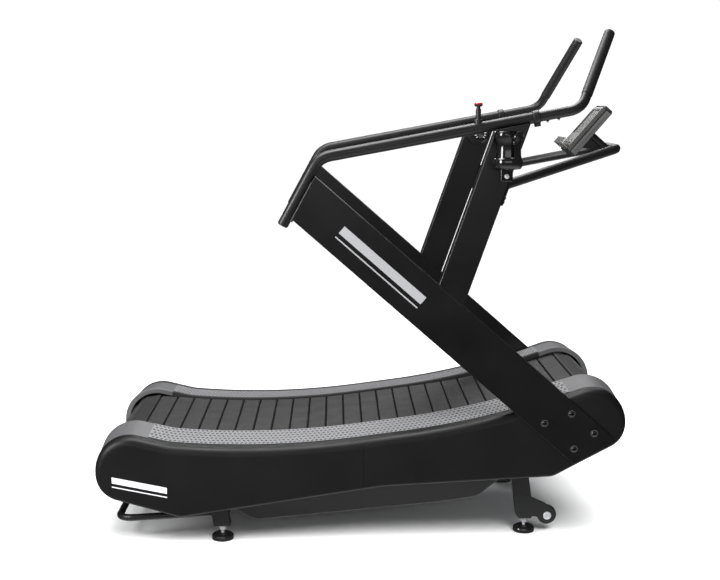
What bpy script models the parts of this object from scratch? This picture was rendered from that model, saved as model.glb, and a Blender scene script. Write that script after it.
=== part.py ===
"""Curved manual treadmill, modelled as separate sub-parts in metres with +Z up.

The machine's front is towards +X and its symmetry plane is the XZ plane of the frame empty.  The user's
right-hand side is the -Y side.  The frame empty is moved so that the world origin is the centre of the
whole machine's footprint, on the floor.
"""
import math

import bmesh
import bpy
from mathutils import Matrix, Vector

# ---------------------------------------------------------------- driving dimensions
GAP = 0.0003                 # clearance kept between pieces that touch
RUN_CLEAR = 0.00009          # radial clearance of a running shaft
TURN_STEPS = 32              # facets of a turned piece

# Plan widths, measured from the symmetry plane
BELT_HALF = 0.235
TREAD_IN = 0.2435
TREAD_OUT = 0.396
COVER_HALF = 0.450
PLATE_IN = 0.262
PLATE_T = 0.006
ARM_Y = 0.431
ARM_T = 0.050
ARM_OUT = ARM_Y + ARM_T / 2
ARM_IN = ARM_Y - ARM_T / 2

# Ends of the running gear
REAR_AXIS = Vector((-0.780, 0.272))
FRONT_AXIS = Vector((0.785, 0.432))
BELT_T = 0.018
BELT_R = 0.0995
SHAFT_R = 0.0125
ROLLER_R = 0.0808

# Side cover outline, clockwise from the rear bottom: x, z, corner radius
COVER_CORNERS = (
    (-0.899, 0.190, 0.100), (-0.899, 0.4181, 0.114), (-0.655, 0.3583, 0.300), (-0.317, 0.3316, 3.000),
    (0.450, 0.4314, 2.900), (0.901, 0.5939, 0.113), (0.901, 0.3751, 0.096), (0.655, 0.2445, 0.060),
    (0.075, 0.2130, 0.500), (-0.612, 0.1080, 0.050),
)
TOP_CORNERS = 7              # the first seven corners go over the top, nose to nose
COVER_WALL = 0.003
SHOULDER_R = 0.030
SKIRT_R = 0.010
SEAM_X = 0.010
TREAD_X = (-0.724, 0.715)
TREAD_RISE = 0.010
TREAD_WALL = 0.003

# Belt outline, clockwise from the rear bottom
BELT_CORNERS = (
    (-0.880, 0.1882, BELT_R), (-0.880, 0.3800, BELT_R), (-0.317, 0.3376, 3.000), (0.450, 0.4374, 2.900),
    (0.885, 0.5657, BELT_R), (0.885, 0.3530, BELT_R), (-0.280, 0.0850, 0.900),
)

# Arms, uprights and rails
ARM_SLOPE = math.radians(41.3)
ARM_TOP_AT_0 = 1.1338        # height of the arm's top edge line over x = 0
ARM_DEPTH = 0.156
UPRIGHT_LEAN = 0.352
UPRIGHT_REAR = Vector((0.2605, 0.9085))
UPRIGHT_FRONT = Vector((0.353, 0.863))
BOX_WALL = 0.003
RAIL_R = 0.0185
RAIL_FOOT = Vector((-0.255, 1.106))
RAIL_KNEE = Vector((-0.1362, 1.3238))
RAIL_RISE = 0.185
RAIL_END_X = 0.5747
RAIL_BEND = 0.080
HANDLE_R = 0.017
HANDLE_KNEE = Vector((0.722, 0.431, 1.483))
HANDLE_TIP = Vector((0.842, 0.270, 1.735))
HANDLE_BEND = 0.070
GRIP_R = 0.0188
GRIP_START = 0.058
COLLAR_LEN = 0.022

# Bolts through the arm's lower end: distance along and across the arm from their middle
BOLT_MIDDLE = Vector((0.700, 0.412))
BOLT_PLACES = ((-0.074, -0.036), (-0.027, 0.048), (0.077, 0.048), (0.062, -0.036))
BOLT_R = 0.006
BOLT_HEAD_R = 0.0105
BOLT_HEAD = 0.006

# Stands, feet and transport wheels
REAR_FOOT = Vector((-0.478, 0.352))
FRONT_FOOT = Vector((0.583, 0.291))
LEG_BOTTOM = 0.050
LEG_T = 0.044
FOOT_R = 0.038
STUD_R = 0.006
STUD_TOP = 0.076
WHEEL_AXIS = Vector((0.662, 0.061))
WHEEL_R = 0.034
WHEEL_PLATE_Y = (0.3075, 0.3135)
WHEEL_Y = (0.2850, 0.3060)
AXLE_R = 0.006

# Console
CONSOLE_AT = Vector((0.8255, 0.0, 1.405))
CONSOLE_TILT = math.radians(49.0)
CONSOLE_SIZE = Vector((0.200, 0.150, 0.042))
BACK_DEPTH = 0.026
SHELL_WALL = 0.0025
WINDOW = Vector((0.110, 0.122))
WINDOW_AT = 0.025
KEY = Vector((0.016, 0.040, 0.0075))
KEY_AT = ((-0.068, -0.030), (-0.068, 0.030))
U_TUBE_R = 0.0165
GUSSET_REACH, GUSSET_DEPTH, GUSSET_T = -0.065, 0.080, 0.006
U_TIP = Vector((0.917, 0.106, 1.3420))
U_START = Vector((0.460, 0.441, 1.2306))
U_BEND = 0.050

# Fittings on the arms
CAGE_AT = Vector((0.475, -0.5055))
CAGE_R = 0.049
CAGE_TOP = 1.412
DIAL_AT = Vector((0.484, 1.384))
POST_X = 0.385
POST_TOP = 1.483
CAP_TOP = 1.504

# Magnetic brake beside the front roller, on the left
DISC_R = 0.088
DISC_Y = (0.345, 0.353)
BRAKE_PIVOT = Vector((0.655, 0.365))
BRAKE_PIN_R = 0.008

# Lift handle under the rear
LIFT_R = 0.012
LIFT_REAR = Vector((-0.841, 0.345, 0.072))
LIFT_FRONT = Vector((-0.5185, 0.345, 0.090))

# The root moves by this much so that the world origin is the footprint's centre
X_SPAN = (COVER_CORNERS[0][0], U_TIP.x + U_TUBE_R)
Y_SPAN = (CAGE_AT.y - CAGE_R, ARM_OUT + BOLT_HEAD)
ORIGIN = Vector((sum(X_SPAN) / 2, sum(Y_SPAN) / 2, 0.0))

# Finishes: colour, roughness, metallic
FINISHES = {
    "powder_coat": ((0.022, 0.022, 0.024), 0.38, 0.2),
    "cover": ((0.035, 0.035, 0.037), 0.55, 0.0),
    "cap": ((0.16, 0.16, 0.165), 0.5, 0.0),
    "tread": ((0.24, 0.24, 0.245), 0.55, 0.3),
    "rubber": ((0.028, 0.028, 0.03), 0.8, 0.0),
    "steel": ((0.55, 0.55, 0.56), 0.3, 1.0),
    "aluminium": ((0.62, 0.62, 0.64), 0.35, 1.0),
    "silver": ((0.42, 0.42, 0.43), 0.4, 0.3),
    "gloss_black": ((0.012, 0.012, 0.013), 0.12, 0.0),
    "grip": ((0.045, 0.045, 0.046), 0.85, 0.0),
    "screen": ((0.05, 0.06, 0.06), 0.15, 0.0),
    "red": ((0.35, 0.015, 0.02), 0.3, 0.0),
    "dark_plastic": ((0.03, 0.03, 0.032), 0.45, 0.0),
}
SIDES = (("right", -1), ("left", 1))


# ---------------------------------------------------------------- scene helpers
def clear_scene():
    for item in list(bpy.data.objects):
        bpy.data.objects.remove(item, do_unlink=True)


def new_collection(name):
    collection = bpy.data.collections.new(name)
    bpy.context.scene.collection.children.link(collection)
    return collection


def new_empty(name, location, parent=None, turn_y=0.0):
    empty = bpy.data.objects.new(name, None)
    PARTS.objects.link(empty)
    empty.location = location
    empty.rotation_euler = (0.0, turn_y, 0.0)
    empty.parent = parent
    return empty


def add_part(item, finish, location=(0.0, 0.0, 0.0), turn=(0.0, 0.0, 0.0), parent=None):
    """Place an object under the frame empty and give it a material of its own."""
    if item.name not in PARTS.objects:
        PARTS.objects.link(item)
    colour, roughness, metallic = FINISHES[finish]
    material = bpy.data.materials.new(item.name + "_" + finish)
    material.use_nodes = True
    shader = material.node_tree.nodes["Principled BSDF"]
    shader.inputs["Base Color"].default_value = (*colour, 1.0)
    shader.inputs["Roughness"].default_value = roughness
    shader.inputs["Metallic"].default_value = metallic
    item.data.materials.clear()
    item.data.materials.append(material)
    item.location = location
    item.rotation_euler = turn
    item.parent = parent or ROOT
    return item


def as_cutter(item, parent=None):
    """Keep a shape as a guide that is cut from, or joined to, a part."""
    if item.name not in CUTTERS.objects:
        CUTTERS.objects.link(item)
    item.parent = parent or ROOT
    item.hide_render = True
    item.display_type = "WIRE"
    return item


def boolean(item, other, operation="DIFFERENCE"):
    modifier = item.modifiers.new(operation.lower(), "BOOLEAN")
    modifier.operation = operation
    modifier.solver = "EXACT"
    modifier.object = other
    return item


def bevel(item, width, segments=2):
    modifier = item.modifiers.new("bevel", "BEVEL")
    modifier.width = width
    modifier.segments = segments
    modifier.limit_method = "ANGLE"
    modifier.angle_limit = math.radians(35)
    return item


def mesh_object(name, bm, smooth=False):
    mesh = bpy.data.meshes.new(name)
    bm.to_mesh(mesh)
    bm.free()
    if smooth:
        mesh.shade_smooth()
        mesh.set_sharp_from_angle(angle=math.radians(30))
    return bpy.data.objects.new(name, mesh)


def curve_to_mesh(item):
    """Turn a curve object into a closed mesh object, so that it can be cut or joined."""
    bpy.context.scene.collection.objects.link(item)
    bpy.context.view_layer.update()
    evaluated = item.evaluated_get(bpy.context.evaluated_depsgraph_get())
    mesh = bpy.data.meshes.new_from_object(evaluated)
    mesh.transform(item.matrix_world)
    bm = bmesh.new()
    bm.from_mesh(mesh)
    bmesh.ops.remove_doubles(bm, verts=bm.verts, dist=1e-6)
    bmesh.ops.recalc_face_normals(bm, faces=bm.faces)
    bm.to_mesh(mesh)
    bm.free()
    name = item.name
    bpy.data.objects.remove(item, do_unlink=True)
    return bpy.data.objects.new(name, mesh)


# ---------------------------------------------------------------- shape helpers
def box(name, low, high):
    """A box between two corners."""
    low, high = Vector(low), Vector(high)
    bm = bmesh.new()
    bmesh.ops.create_cube(bm, size=1.0)
    bmesh.ops.scale(bm, vec=high - low, verts=bm.verts)
    bmesh.ops.translate(bm, vec=(low + high) / 2, verts=bm.verts)
    return mesh_object(name, bm)


def rods(name, places, radius, y_span, steps=TURN_STEPS, top_radius=None):
    """Round bars along Y at each (x, z) place, as one guide object."""
    bm = bmesh.new()
    depth = y_span[1] - y_span[0]
    for x, z in places:
        made = bmesh.ops.create_cone(
            bm, cap_ends=True, segments=steps, radius1=radius,
            radius2=radius if top_radius is None else top_radius, depth=depth)
        matrix = Matrix.Translation((x, sum(y_span) / 2, z)) @ Matrix.Rotation(-math.pi / 2, 4, "X")
        bmesh.ops.transform(bm, matrix=matrix, verts=made["verts"])
    return mesh_object(name, bm)


def turned(name, profile, steps=TURN_STEPS, closed=False):
    """A shape turned about Z from (radius, height) points that run down its outer side."""
    bm = bmesh.new()
    points = [bm.verts.new((radius, 0.0, height)) for radius, height in profile]
    for first, second in zip(points, points[1:]):
        bm.edges.new((first, second))
    if closed:
        bm.edges.new((points[-1], points[0]))
    item = mesh_object(name, bm)
    screw = item.modifiers.new("screw", "SCREW")
    screw.steps = steps
    screw.render_steps = steps
    screw.use_merge_vertices = True
    screw.merge_threshold = 0.00001
    screw.use_smooth_shade = True
    return item


def circle_points(x, z, radius, steps=TURN_STEPS):
    return [Vector((x + radius * math.cos(2 * math.pi * i / steps),
                    z + radius * math.sin(2 * math.pi * i / steps))) for i in range(steps)]


def corner_arcs(corners, step=math.radians(14.0), reach=0.14):
    """The points of each rounded corner of a closed outline, one list for each corner."""
    arcs = []
    for index, (x, z, radius) in enumerate(corners):
        here = Vector((x, z))
        back = (Vector(corners[index - 1][:2]) - here).normalized()
        ahead = (Vector(corners[(index + 1) % len(corners)][:2]) - here).normalized()
        turn = math.pi - back.angle(ahead)
        if radius == 0.0:
            arcs.append([here])
            continue
        centre = here + (back + ahead).normalized() * radius / math.cos(turn / 2)
        start = here + back * radius * math.tan(turn / 2) - centre
        finish = here + ahead * radius * math.tan(turn / 2) - centre
        sense = math.copysign(1.0, start.x * finish.y - start.y * finish.x)
        count = max(math.ceil(turn / step), math.ceil(turn * radius / reach))
        arcs.append([centre + Matrix.Rotation(sense * turn * i / count, 2) @ start
                     for i in range(count + 1)])
    return arcs


def joined(arcs, least=0.0015):
    """One run of points from several arcs, without points that almost touch."""
    points = []
    for point in (point for arc in arcs for point in arc):
        if not points or (point - points[-1]).length > least:
            points.append(point)
    return points


def rounded(corners):
    return joined(corner_arcs(corners))


def normals_of(points, closed):
    """Unit normals on the left of the direction of travel."""
    normals = []
    last = len(points) - 1
    for index in range(len(points)):
        before = points[index - 1] if index or closed else points[0]
        after = points[(index + 1) % len(points)] if index < last or closed else points[last]
        along = (after - before).normalized()
        normals.append(Vector((-along.y, along.x)))
    return normals


def plate(name, outlines, y_low, y_high):
    """A flat plate across Y: the first outline is its edge, and the others are holes."""
    data = bpy.data.curves.new(name, "CURVE")
    data.dimensions = "2D"
    data.fill_mode = "BOTH"
    data.extrude = (y_high - y_low) / 2
    for outline in outlines:
        spline = data.splines.new("POLY")
        spline.points.add(len(outline) - 1)
        for point, place in zip(spline.points, outline):
            point.co = (place[0], place[1], 0.0, 1.0)
        spline.use_cyclic_u = True
    item = bpy.data.objects.new(name, data)
    item.location = (0.0, (y_low + y_high) / 2, 0.0)
    item.rotation_euler = (math.pi / 2, 0.0, 0.0)
    return item


def add_plate(item, finish, parent=None):
    """Add a plate that is still a curve, where it was drawn."""
    return add_part(item, finish, item.location.copy(), item.rotation_euler.copy(), parent)


def bent_path(points, radius, steps=6):
    """A route through corners in space, each turned at the same radius."""
    route = [points[0]]
    for before, here, after in zip(points, points[1:], points[2:]):
        back, ahead = (before - here).normalized(), (after - here).normalized()
        turn = math.pi - back.angle(ahead)
        centre = here + (back + ahead).normalized() * radius / math.cos(turn / 2)
        start = here + back * radius * math.tan(turn / 2) - centre
        axis = back.cross(ahead).normalized()
        for i in range(steps + 1):
            route.append(centre + Matrix.Rotation(-turn * i / steps, 3, axis) @ start)
    route.append(points[-1])
    return route


def tube(name, route, radius, resolution=4):
    """A round bar along a route, with filled ends."""
    data = bpy.data.curves.new(name, "CURVE")
    data.dimensions = "3D"
    data.bevel_depth = radius
    data.bevel_resolution = resolution
    data.use_fill_caps = True
    spline = data.splines.new("POLY")
    spline.points.add(len(route) - 1)
    for point, place in zip(spline.points, route):
        point.co = (*place, 1.0)
    return bpy.data.objects.new(name, data)


def section_ring(bm, point, normal, section, side):
    """One cross-section, (distance from the middle, offset) pairs, set across the path at a point."""
    places = [(point + normal * offset, side * across) for across, offset in section]
    return [bm.verts.new((place.x, across, place.y)) for place, across in places]


def skin(bm, rings, open_edge=None):
    """Faces between neighbouring rings, leaving out the one strip after open_edge."""
    count = len(rings[0])
    for first, second in zip(rings, rings[1:]):
        for i in range(count):
            j = (i + 1) % count
            if i != open_edge:
                bm.faces.new((first[i], first[j], second[j], second[i]))


def sweep(name, stations, section, side=1, closed=False):
    """A strip with one cross-section along (point, normal) stations."""
    bm = bmesh.new()
    rings = [section_ring(bm, point, normal, section, side) for point, normal in stations]
    if closed:
        rings.append(rings[0])
    else:
        bm.faces.new(rings[0])
        bm.faces.new(rings[-1])
    skin(bm, rings)
    bmesh.ops.recalc_face_normals(bm, faces=bm.faces)
    return mesh_object(name, bm)


def meet(point_a, along_a, point_b, along_b):
    """Where two lines in the XZ plane cross."""
    across = along_a.x * along_b.y - along_a.y * along_b.x
    between = point_b - point_a
    return point_a + along_a * (between.x * along_b.y - between.y * along_b.x) / across


# ---------------------------------------------------------------- frame
def rail_height(x):
    """Height of the handrail's axis over x."""
    return RAIL_KNEE.y + RAIL_RISE * (x - RAIL_KNEE.x)


def build_side_plates():
    outline = rounded((
        (-0.835, 0.318, 0.02), (-0.600, 0.322, 0.2), (-0.250, 0.312, 0.5), (0.350, 0.372, 0.8),
        (0.835, 0.490, 0.02), (0.835, 0.375, 0.02), (0.620, 0.300, 0.02), (0.595, 0.2623, 0.0),
        (0.545, 0.2623, 0.0), (0.520, 0.300, 0.02), (0.100, 0.252, 0.3), (-0.400, 0.225, 0.05),
        (-0.456, 0.1123, 0.0), (-0.515, 0.1123, 0.0), (-0.600, 0.190, 0.05), (-0.835, 0.225, 0.02)))
    for name, side in SIDES:
        holes = [circle_points(*REAR_AXIS, 0.030), circle_points(*FRONT_AXIS, 0.030)]
        if side > 0:
            holes.append(circle_points(*BRAKE_PIVOT, BRAKE_PIN_R + RUN_CLEAR))
        low, high = sorted((side * PLATE_IN, side * (PLATE_IN + PLATE_T)))
        add_plate(plate("side_plate_" + name, [outline] + holes, low, high), "powder_coat")


def build_cross_members():
    reach = PLATE_IN - GAP
    for name, x, z in (("rear", -0.450, 0.262), ("front", 0.450, 0.348)):
        bar = box("cross_member_" + name, (x - 0.030, -reach, z - 0.020), (x + 0.030, reach, z + 0.020))
        bore = as_cutter(box("cross_member_bore_" + name, (x - 0.027, -reach - 0.01, z - 0.017),
                             (x + 0.027, reach + 0.01, z + 0.017)))
        add_part(boolean(bar, bore), "powder_coat")


def build_belly_pan():
    half = PLATE_IN + PLATE_T + GAP
    wall = 0.003
    outline = rounded((
        (-0.452, 0.200, 0.0), (0.515, 0.245, 0.0), (0.515, 0.185, 0.03), (0.450, 0.128, 0.06),
        (0.360, 0.110, 0.1), (-0.385, 0.036, 0.02), (-0.452, 0.080, 0.0)))
    tray = curve_to_mesh(plate("belly_pan", [outline], -half - wall, half + wall))
    hollow = rounded((
        (-0.470, 0.300, 0.0), (0.512, 0.300, 0.0), (0.512, 0.1865, 0.028), (0.449, 0.1312, 0.058),
        (0.360, 0.1130, 0.1), (-0.384, 0.0392, 0.018), (-0.449, 0.0820, 0.0), (-0.449, 0.100, 0.0),
        (-0.470, 0.100, 0.0)))
    boolean(tray, as_cutter(curve_to_mesh(plate("belly_pan_hollow", [hollow], -half, half))))
    add_part(tray, "cover")


def leg_bores(name, foot):
    """Blind bores for a pair of foot studs, open at the bottom."""
    bm = bmesh.new()
    for side in (-1, 1):
        made = bmesh.ops.create_cone(bm, cap_ends=True, segments=16, radius1=STUD_R + 0.00005,
                                     radius2=STUD_R + 0.00005, depth=0.060)
        bmesh.ops.translate(bm, vec=(foot.x, side * foot.y, LEG_BOTTOM), verts=made["verts"])
    return as_cutter(mesh_object(name, bm))


def build_rear_stand():
    stand = box("rear_stand", (-0.515, -REAR_FOOT.y, 0.074), (-0.456, REAR_FOOT.y, 0.112))
    leg = ((-0.520, 0.130), (-0.461, 0.130), (-0.449, LEG_BOTTOM), (-0.507, LEG_BOTTOM))
    for name, side in SIDES:
        middle = side * REAR_FOOT.y
        shape = curve_to_mesh(plate("rear_leg_" + name, [leg], middle - LEG_T / 2, middle + LEG_T / 2))
        boolean(stand, as_cutter(shape), "UNION")
    boolean(stand, leg_bores("rear_stud_bores", REAR_FOOT))
    add_part(stand, "powder_coat")


def build_front_stand():
    stand = box("front_stand", (0.545, -FRONT_FOOT.y, 0.214), (0.595, FRONT_FOOT.y, 0.262))
    leg = ((0.529, 0.2615), (0.586, 0.2615), (0.604, 0.140), (0.612, 0.062), (0.606, LEG_BOTTOM),
           (0.562, LEG_BOTTOM), (0.553, 0.062))
    bracket = rounded((
        (0.560, 0.145, 0.0), (0.600, 0.132, 0.01), (0.652, 0.109, 0.02), (0.700, 0.070, 0.024),
        (0.672, 0.028, 0.026), (0.622, 0.058, 0.015), (0.560, 0.060, 0.0)))
    for name, side in SIDES:
        middle = side * FRONT_FOOT.y
        shape = curve_to_mesh(plate("front_leg_" + name, [leg], middle - LEG_T / 2, middle + LEG_T / 2))
        boolean(stand, as_cutter(shape), "UNION")
        low, high = sorted(side * y for y in WHEEL_PLATE_Y)
        shape = curve_to_mesh(plate("wheel_bracket_" + name, [bracket], low, high))
        boolean(stand, as_cutter(shape), "UNION")
        low, high = sorted((side * (WHEEL_Y[0] - 0.004), side * (WHEEL_PLATE_Y[1] - 0.002)))
        boolean(stand, as_cutter(rods("wheel_axle_" + name, [WHEEL_AXIS], AXLE_R, (low, high))), "UNION")
        low, high = sorted((side * (WHEEL_PLATE_Y[1] - 0.002), side * (WHEEL_PLATE_Y[1] + 0.005)))
        boolean(stand, as_cutter(rods("axle_head_" + name, [WHEEL_AXIS], 0.0145, (low, high), 16)), "UNION")
    boolean(stand, leg_bores("front_stud_bores", FRONT_FOOT))
    add_part(stand, "powder_coat")


def build_feet():
    profile = ((0.0, STUD_TOP), (STUD_R, STUD_TOP), (STUD_R, 0.0490), (0.0120, 0.0485), (0.0120, 0.0335),
               (0.0090, 0.0330), (0.0090, 0.0225), (0.0300, 0.0205), (0.0360, 0.0165), (FOOT_R, 0.0100),
               (0.0365, 0.0), (0.0, 0.0))
    for end, foot in (("rear", REAR_FOOT), ("front", FRONT_FOOT)):
        for name, side in SIDES:
            pad = turned("foot_" + end + "_" + name, profile, 16)
            add_part(pad, "gloss_black", (foot.x, side * foot.y, 0.0))


def build_transport_wheels():
    half = (WHEEL_Y[1] - WHEEL_Y[0]) / 2
    bore = AXLE_R + RUN_CLEAR
    profile = ((bore, half), (0.0300, half), (WHEEL_R, half - 0.004), (WHEEL_R, 0.004 - half),
               (0.0300, -half), (bore, -half))
    for name, side in SIDES:
        wheel = turned("transport_wheel_" + name, profile, closed=True)
        add_part(wheel, "rubber", (WHEEL_AXIS.x, side * sum(WHEEL_Y) / 2, WHEEL_AXIS.y), (-math.pi / 2, 0, 0))


def build_lift_handle():
    rear, front = LIFT_REAR, LIFT_FRONT
    corners = [Vector((front.x, -front.y, front.z)), Vector((rear.x, -rear.y, rear.z)), rear, front]
    add_part(tube("lift_handle", bent_path(corners, 0.050), LIFT_R), "powder_coat")


# ---------------------------------------------------------------- running gear
def build_rollers():
    pulley_in, pulley_out = 0.130, 0.200
    for name, axis, ends in (("rear", REAR_AXIS, (-0.310, 0.310)), ("front", FRONT_AXIS, (-0.310, 0.368))):
        profile = [(0.0, ends[1]), (SHAFT_R, ends[1])]
        for low, high in ((pulley_in, pulley_out), (-pulley_out, -pulley_in)):
            profile += [(SHAFT_R, high), (ROLLER_R, high), (ROLLER_R, low), (SHAFT_R, low)]
        profile += [(SHAFT_R, ends[0]), (0.0, ends[0])]
        roller = turned(name + "_roller", profile)
        add_part(roller, "aluminium", (axis.x, 0.0, axis.y), (-math.pi / 2, 0.0, 0.0))


def build_bearings():
    low = PLATE_IN + PLATE_T + GAP
    bore = SHAFT_R + RUN_CLEAR
    profile = ((bore, 0.030), (0.024, 0.030), (0.026, 0.014), (0.046, 0.012), (0.046, 0.0), (bore, 0.0))
    for end, axis in (("rear", REAR_AXIS), ("front", FRONT_AXIS)):
        for name, side in SIDES:
            bearing = turned("bearing_" + end + "_" + name, profile, closed=True)
            add_part(bearing, "steel", (axis.x, side * low, axis.y), (-side * math.pi / 2, 0.0, 0.0))


def build_brake():
    half = (DISC_Y[1] - DISC_Y[0]) / 2
    middle = sum(DISC_Y) / 2
    bore = SHAFT_R + GAP
    disc = turned("brake_disc", ((bore, 0.012), (0.022, 0.012), (0.024, half), (DISC_R, half),
                                 (DISC_R, -half), (bore, -half)), closed=True)
    add_part(disc, "aluminium", (FRONT_AXIS.x, middle, FRONT_AXIS.y), (-math.pi / 2, 0.0, 0.0))
    # The arm is drawn about its pivot: a fork that straddles the disc, on a pin in the side plate
    outline = rounded(((-0.020, -0.020, 0.019), (-0.020, 0.020, 0.019), (0.040, 0.078, 0.010),
                       (0.068, 0.052, 0.010), (0.022, -0.020, 0.019)))
    arm = curve_to_mesh(plate("brake_arm", [outline], middle - 0.013, middle + 0.013))
    slot = box("brake_arm_slot", (-0.200, middle - 0.0065, 0.026), (0.200, middle + 0.0065, 0.200))
    at = (BRAKE_PIVOT.x, 0.0, BRAKE_PIVOT.y)
    pivot = new_empty("brake_pivot", at, ROOT)
    boolean(arm, as_cutter(slot, pivot))
    pin = rods("brake_arm_pin", [(0.0, 0.0)], BRAKE_PIN_R, (PLATE_IN - 0.002, middle - 0.008))
    boolean(arm, as_cutter(pin, pivot), "UNION")
    add_part(arm, "steel", at)


def build_belt():
    points = rounded(BELT_CORNERS)
    section = ((-BELT_HALF, 0.0), (BELT_HALF, 0.0), (BELT_HALF, -BELT_T), (-BELT_HALF, -BELT_T))
    add_part(sweep("slat_belt", list(zip(points, normals_of(points, True))), section, closed=True), "rubber")


def build_roller_rails():
    """A rail each side, with its row of small rollers under the belt's edge."""
    path = joined(corner_arcs(BELT_CORNERS)[1:5])
    low_x, high_x, radius, count = -0.690, 0.690, 0.011, 22
    top = []
    for index in range(count):
        x = low_x + (high_x - low_x) * (index + 0.5) / count
        after = next(i for i, point in enumerate(path) if point.x > x)
        first, second = path[after - 1], path[after]
        along = (second - first).normalized()
        normal = Vector((-along.y, along.x))
        middle = first.lerp(second, (x - first.x) / (second.x - first.x))
        centre = middle - normal * (BELT_T + radius + 2 * GAP)
        for step in range(5):
            angle = math.radians(180 - 45 * step)
            top.append(centre + (along * math.cos(angle) + normal * math.sin(angle)) * radius)
    under = [point - Vector((0.0, 0.026)) for point in top[4::10]]
    outline = [top[0] - Vector((0.004, 0.014))] + top + [top[-1] + Vector((0.004, -0.014))] + under[::-1]
    for name, side in SIDES:
        low, high = sorted((side * 0.2053, side * (PLATE_IN - GAP)))
        add_plate(plate("roller_rail_" + name, [outline], low, high), "aluminium")


# ---------------------------------------------------------------- covers
def split_path(stations, x):
    """Split (point, normal) stations where they first pass x, with a small gap between the halves."""
    index = next(i for i, (point, _) in enumerate(stations) if point.x > x)
    (first, normal_a), (second, normal_b) = stations[index - 1], stations[index]
    halves = []
    for place in (x - GAP, x + GAP):
        part = (place - first.x) / (second.x - first.x)
        halves.append((first.lerp(second, part), normal_a.lerp(normal_b, part).normalized()))
    return stations[:index] + [halves[0]], [halves[1]] + stations[index:]


def build_top_strips():
    """The two tread plates, and the smooth caps before and behind each."""
    points = joined(corner_arcs(COVER_CORNERS)[:TOP_CORNERS])
    stations = list(zip(points, normals_of(points, False)))
    rear, rest = split_path(stations, TREAD_X[0])
    middle, front = split_path(rest, TREAD_X[1])
    lip = TREAD_IN + TREAD_WALL
    section = ((TREAD_OUT, 0.0), (TREAD_IN, TREAD_RISE), (TREAD_IN, -0.008), (lip, -0.008),
               (lip, TREAD_RISE - TREAD_WALL), (TREAD_OUT, -TREAD_WALL))
    for name, side in SIDES:
        add_part(sweep("tread_plate_" + name, middle, section, side), "tread")
        add_part(sweep("rear_cap_" + name, rear, section, side), "cap")
        add_part(sweep("front_cap_" + name, front, section, side), "cap")


def cover_dish(name, side):
    """A whole side cover: a thin dish whose rim runs over the top, round both ends and underneath."""
    points = rounded(COVER_CORNERS)
    rim = TREAD_OUT + GAP
    angles = [math.radians(a) for a in (0.0, 30.0, 60.0, 90.0)]
    bm = bmesh.new()
    rings = []
    for point, normal in zip(points, normals_of(points, True)):
        share = min(max((normal.y + 0.6) / 0.9, 0.0), 1.0)
        radius = SKIRT_R + (SHOULDER_R - SKIRT_R) * share
        inner = radius - COVER_WALL
        section = [(rim, 0.0)]
        section += [(COVER_HALF - radius + radius * math.sin(a), radius * (math.cos(a) - 1.0))
                    for a in angles]
        section += [(COVER_HALF - radius + inner * math.sin(a), inner * math.cos(a) - radius)
                    for a in angles[::-1]]
        section += [(rim, -COVER_WALL)]
        rings.append(section_ring(bm, point, normal, section, side))
    edge = len(angles)
    skin(bm, rings + rings[:1], open_edge=edge)
    bm.faces.new([ring[edge] for ring in rings])
    bm.faces.new([ring[edge + 1] for ring in rings])
    bmesh.ops.recalc_face_normals(bm, faces=bm.faces)
    return mesh_object(name, bm)


def build_side_covers():
    for name, side in SIDES:
        for end, low, high in (("rear", SEAM_X - GAP, 1.0), ("front", -1.0, SEAM_X + GAP)):
            cover = cover_dish("side_cover_" + end + "_" + name, side)
            half = box("cover_split_" + end + "_" + name, (low, -0.6, 0.0), (high, 0.6, 0.8))
            boolean(cover, as_cutter(half))
            if end == "front":
                pocket = arm_outline(0.0005, 0.8)
                low_y, high_y = sorted((side * (ARM_IN - 0.0005), side * (ARM_OUT + 0.02)))
                cutter = curve_to_mesh(plate("arm_pocket_" + name, [pocket], low_y, high_y))
                boolean(cover, as_cutter(cutter))
            add_part(cover, "cover")


# ---------------------------------------------------------------- arms
def arm_outline(grow, overrun):
    """The diagonal arm's four-sided outline, grown sideways and run past its lower end."""
    along = Vector((math.cos(ARM_SLOPE), -math.sin(ARM_SLOPE)))
    across = Vector((math.sin(ARM_SLOPE), math.cos(ARM_SLOPE)))
    top = Vector((0.0, ARM_TOP_AT_0)) + across * grow
    bottom = Vector((0.0, ARM_TOP_AT_0)) - across * (ARM_DEPTH + grow)
    rail = (RAIL_KNEE - RAIL_FOOT).normalized()
    end = RAIL_FOOT + Vector((rail.y, -rail.x)) * (RAIL_R + GAP)
    upper = meet(top, along, end, rail)
    lower = meet(bottom, along, end, rail)
    if overrun:
        return [upper, upper + along * (1.0 + overrun), lower + along * (1.0 + overrun), lower]
    front_low, under = Vector(COVER_CORNERS[6][:2]), Vector(COVER_CORNERS[7][:2])
    slope = (under - front_low).normalized()
    tucked = front_low + Vector((slope.y, -slope.x)) * 0.002
    heel = meet(bottom, along, tucked, slope)
    toe = meet(top, along, tucked, slope)
    nose = toe.lerp(upper, 0.0095)
    chin = toe.lerp(heel, 0.155)
    return [upper, nose, nose.lerp(chin, 0.5) + Vector((0.0022, -0.0032)), chin, heel, lower]


def bolt_places():
    along = Vector((math.cos(ARM_SLOPE), -math.sin(ARM_SLOPE)))
    across = Vector((math.sin(ARM_SLOPE), math.cos(ARM_SLOPE)))
    return [BOLT_MIDDLE + along * s + across * t for s, t in BOLT_PLACES]


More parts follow.
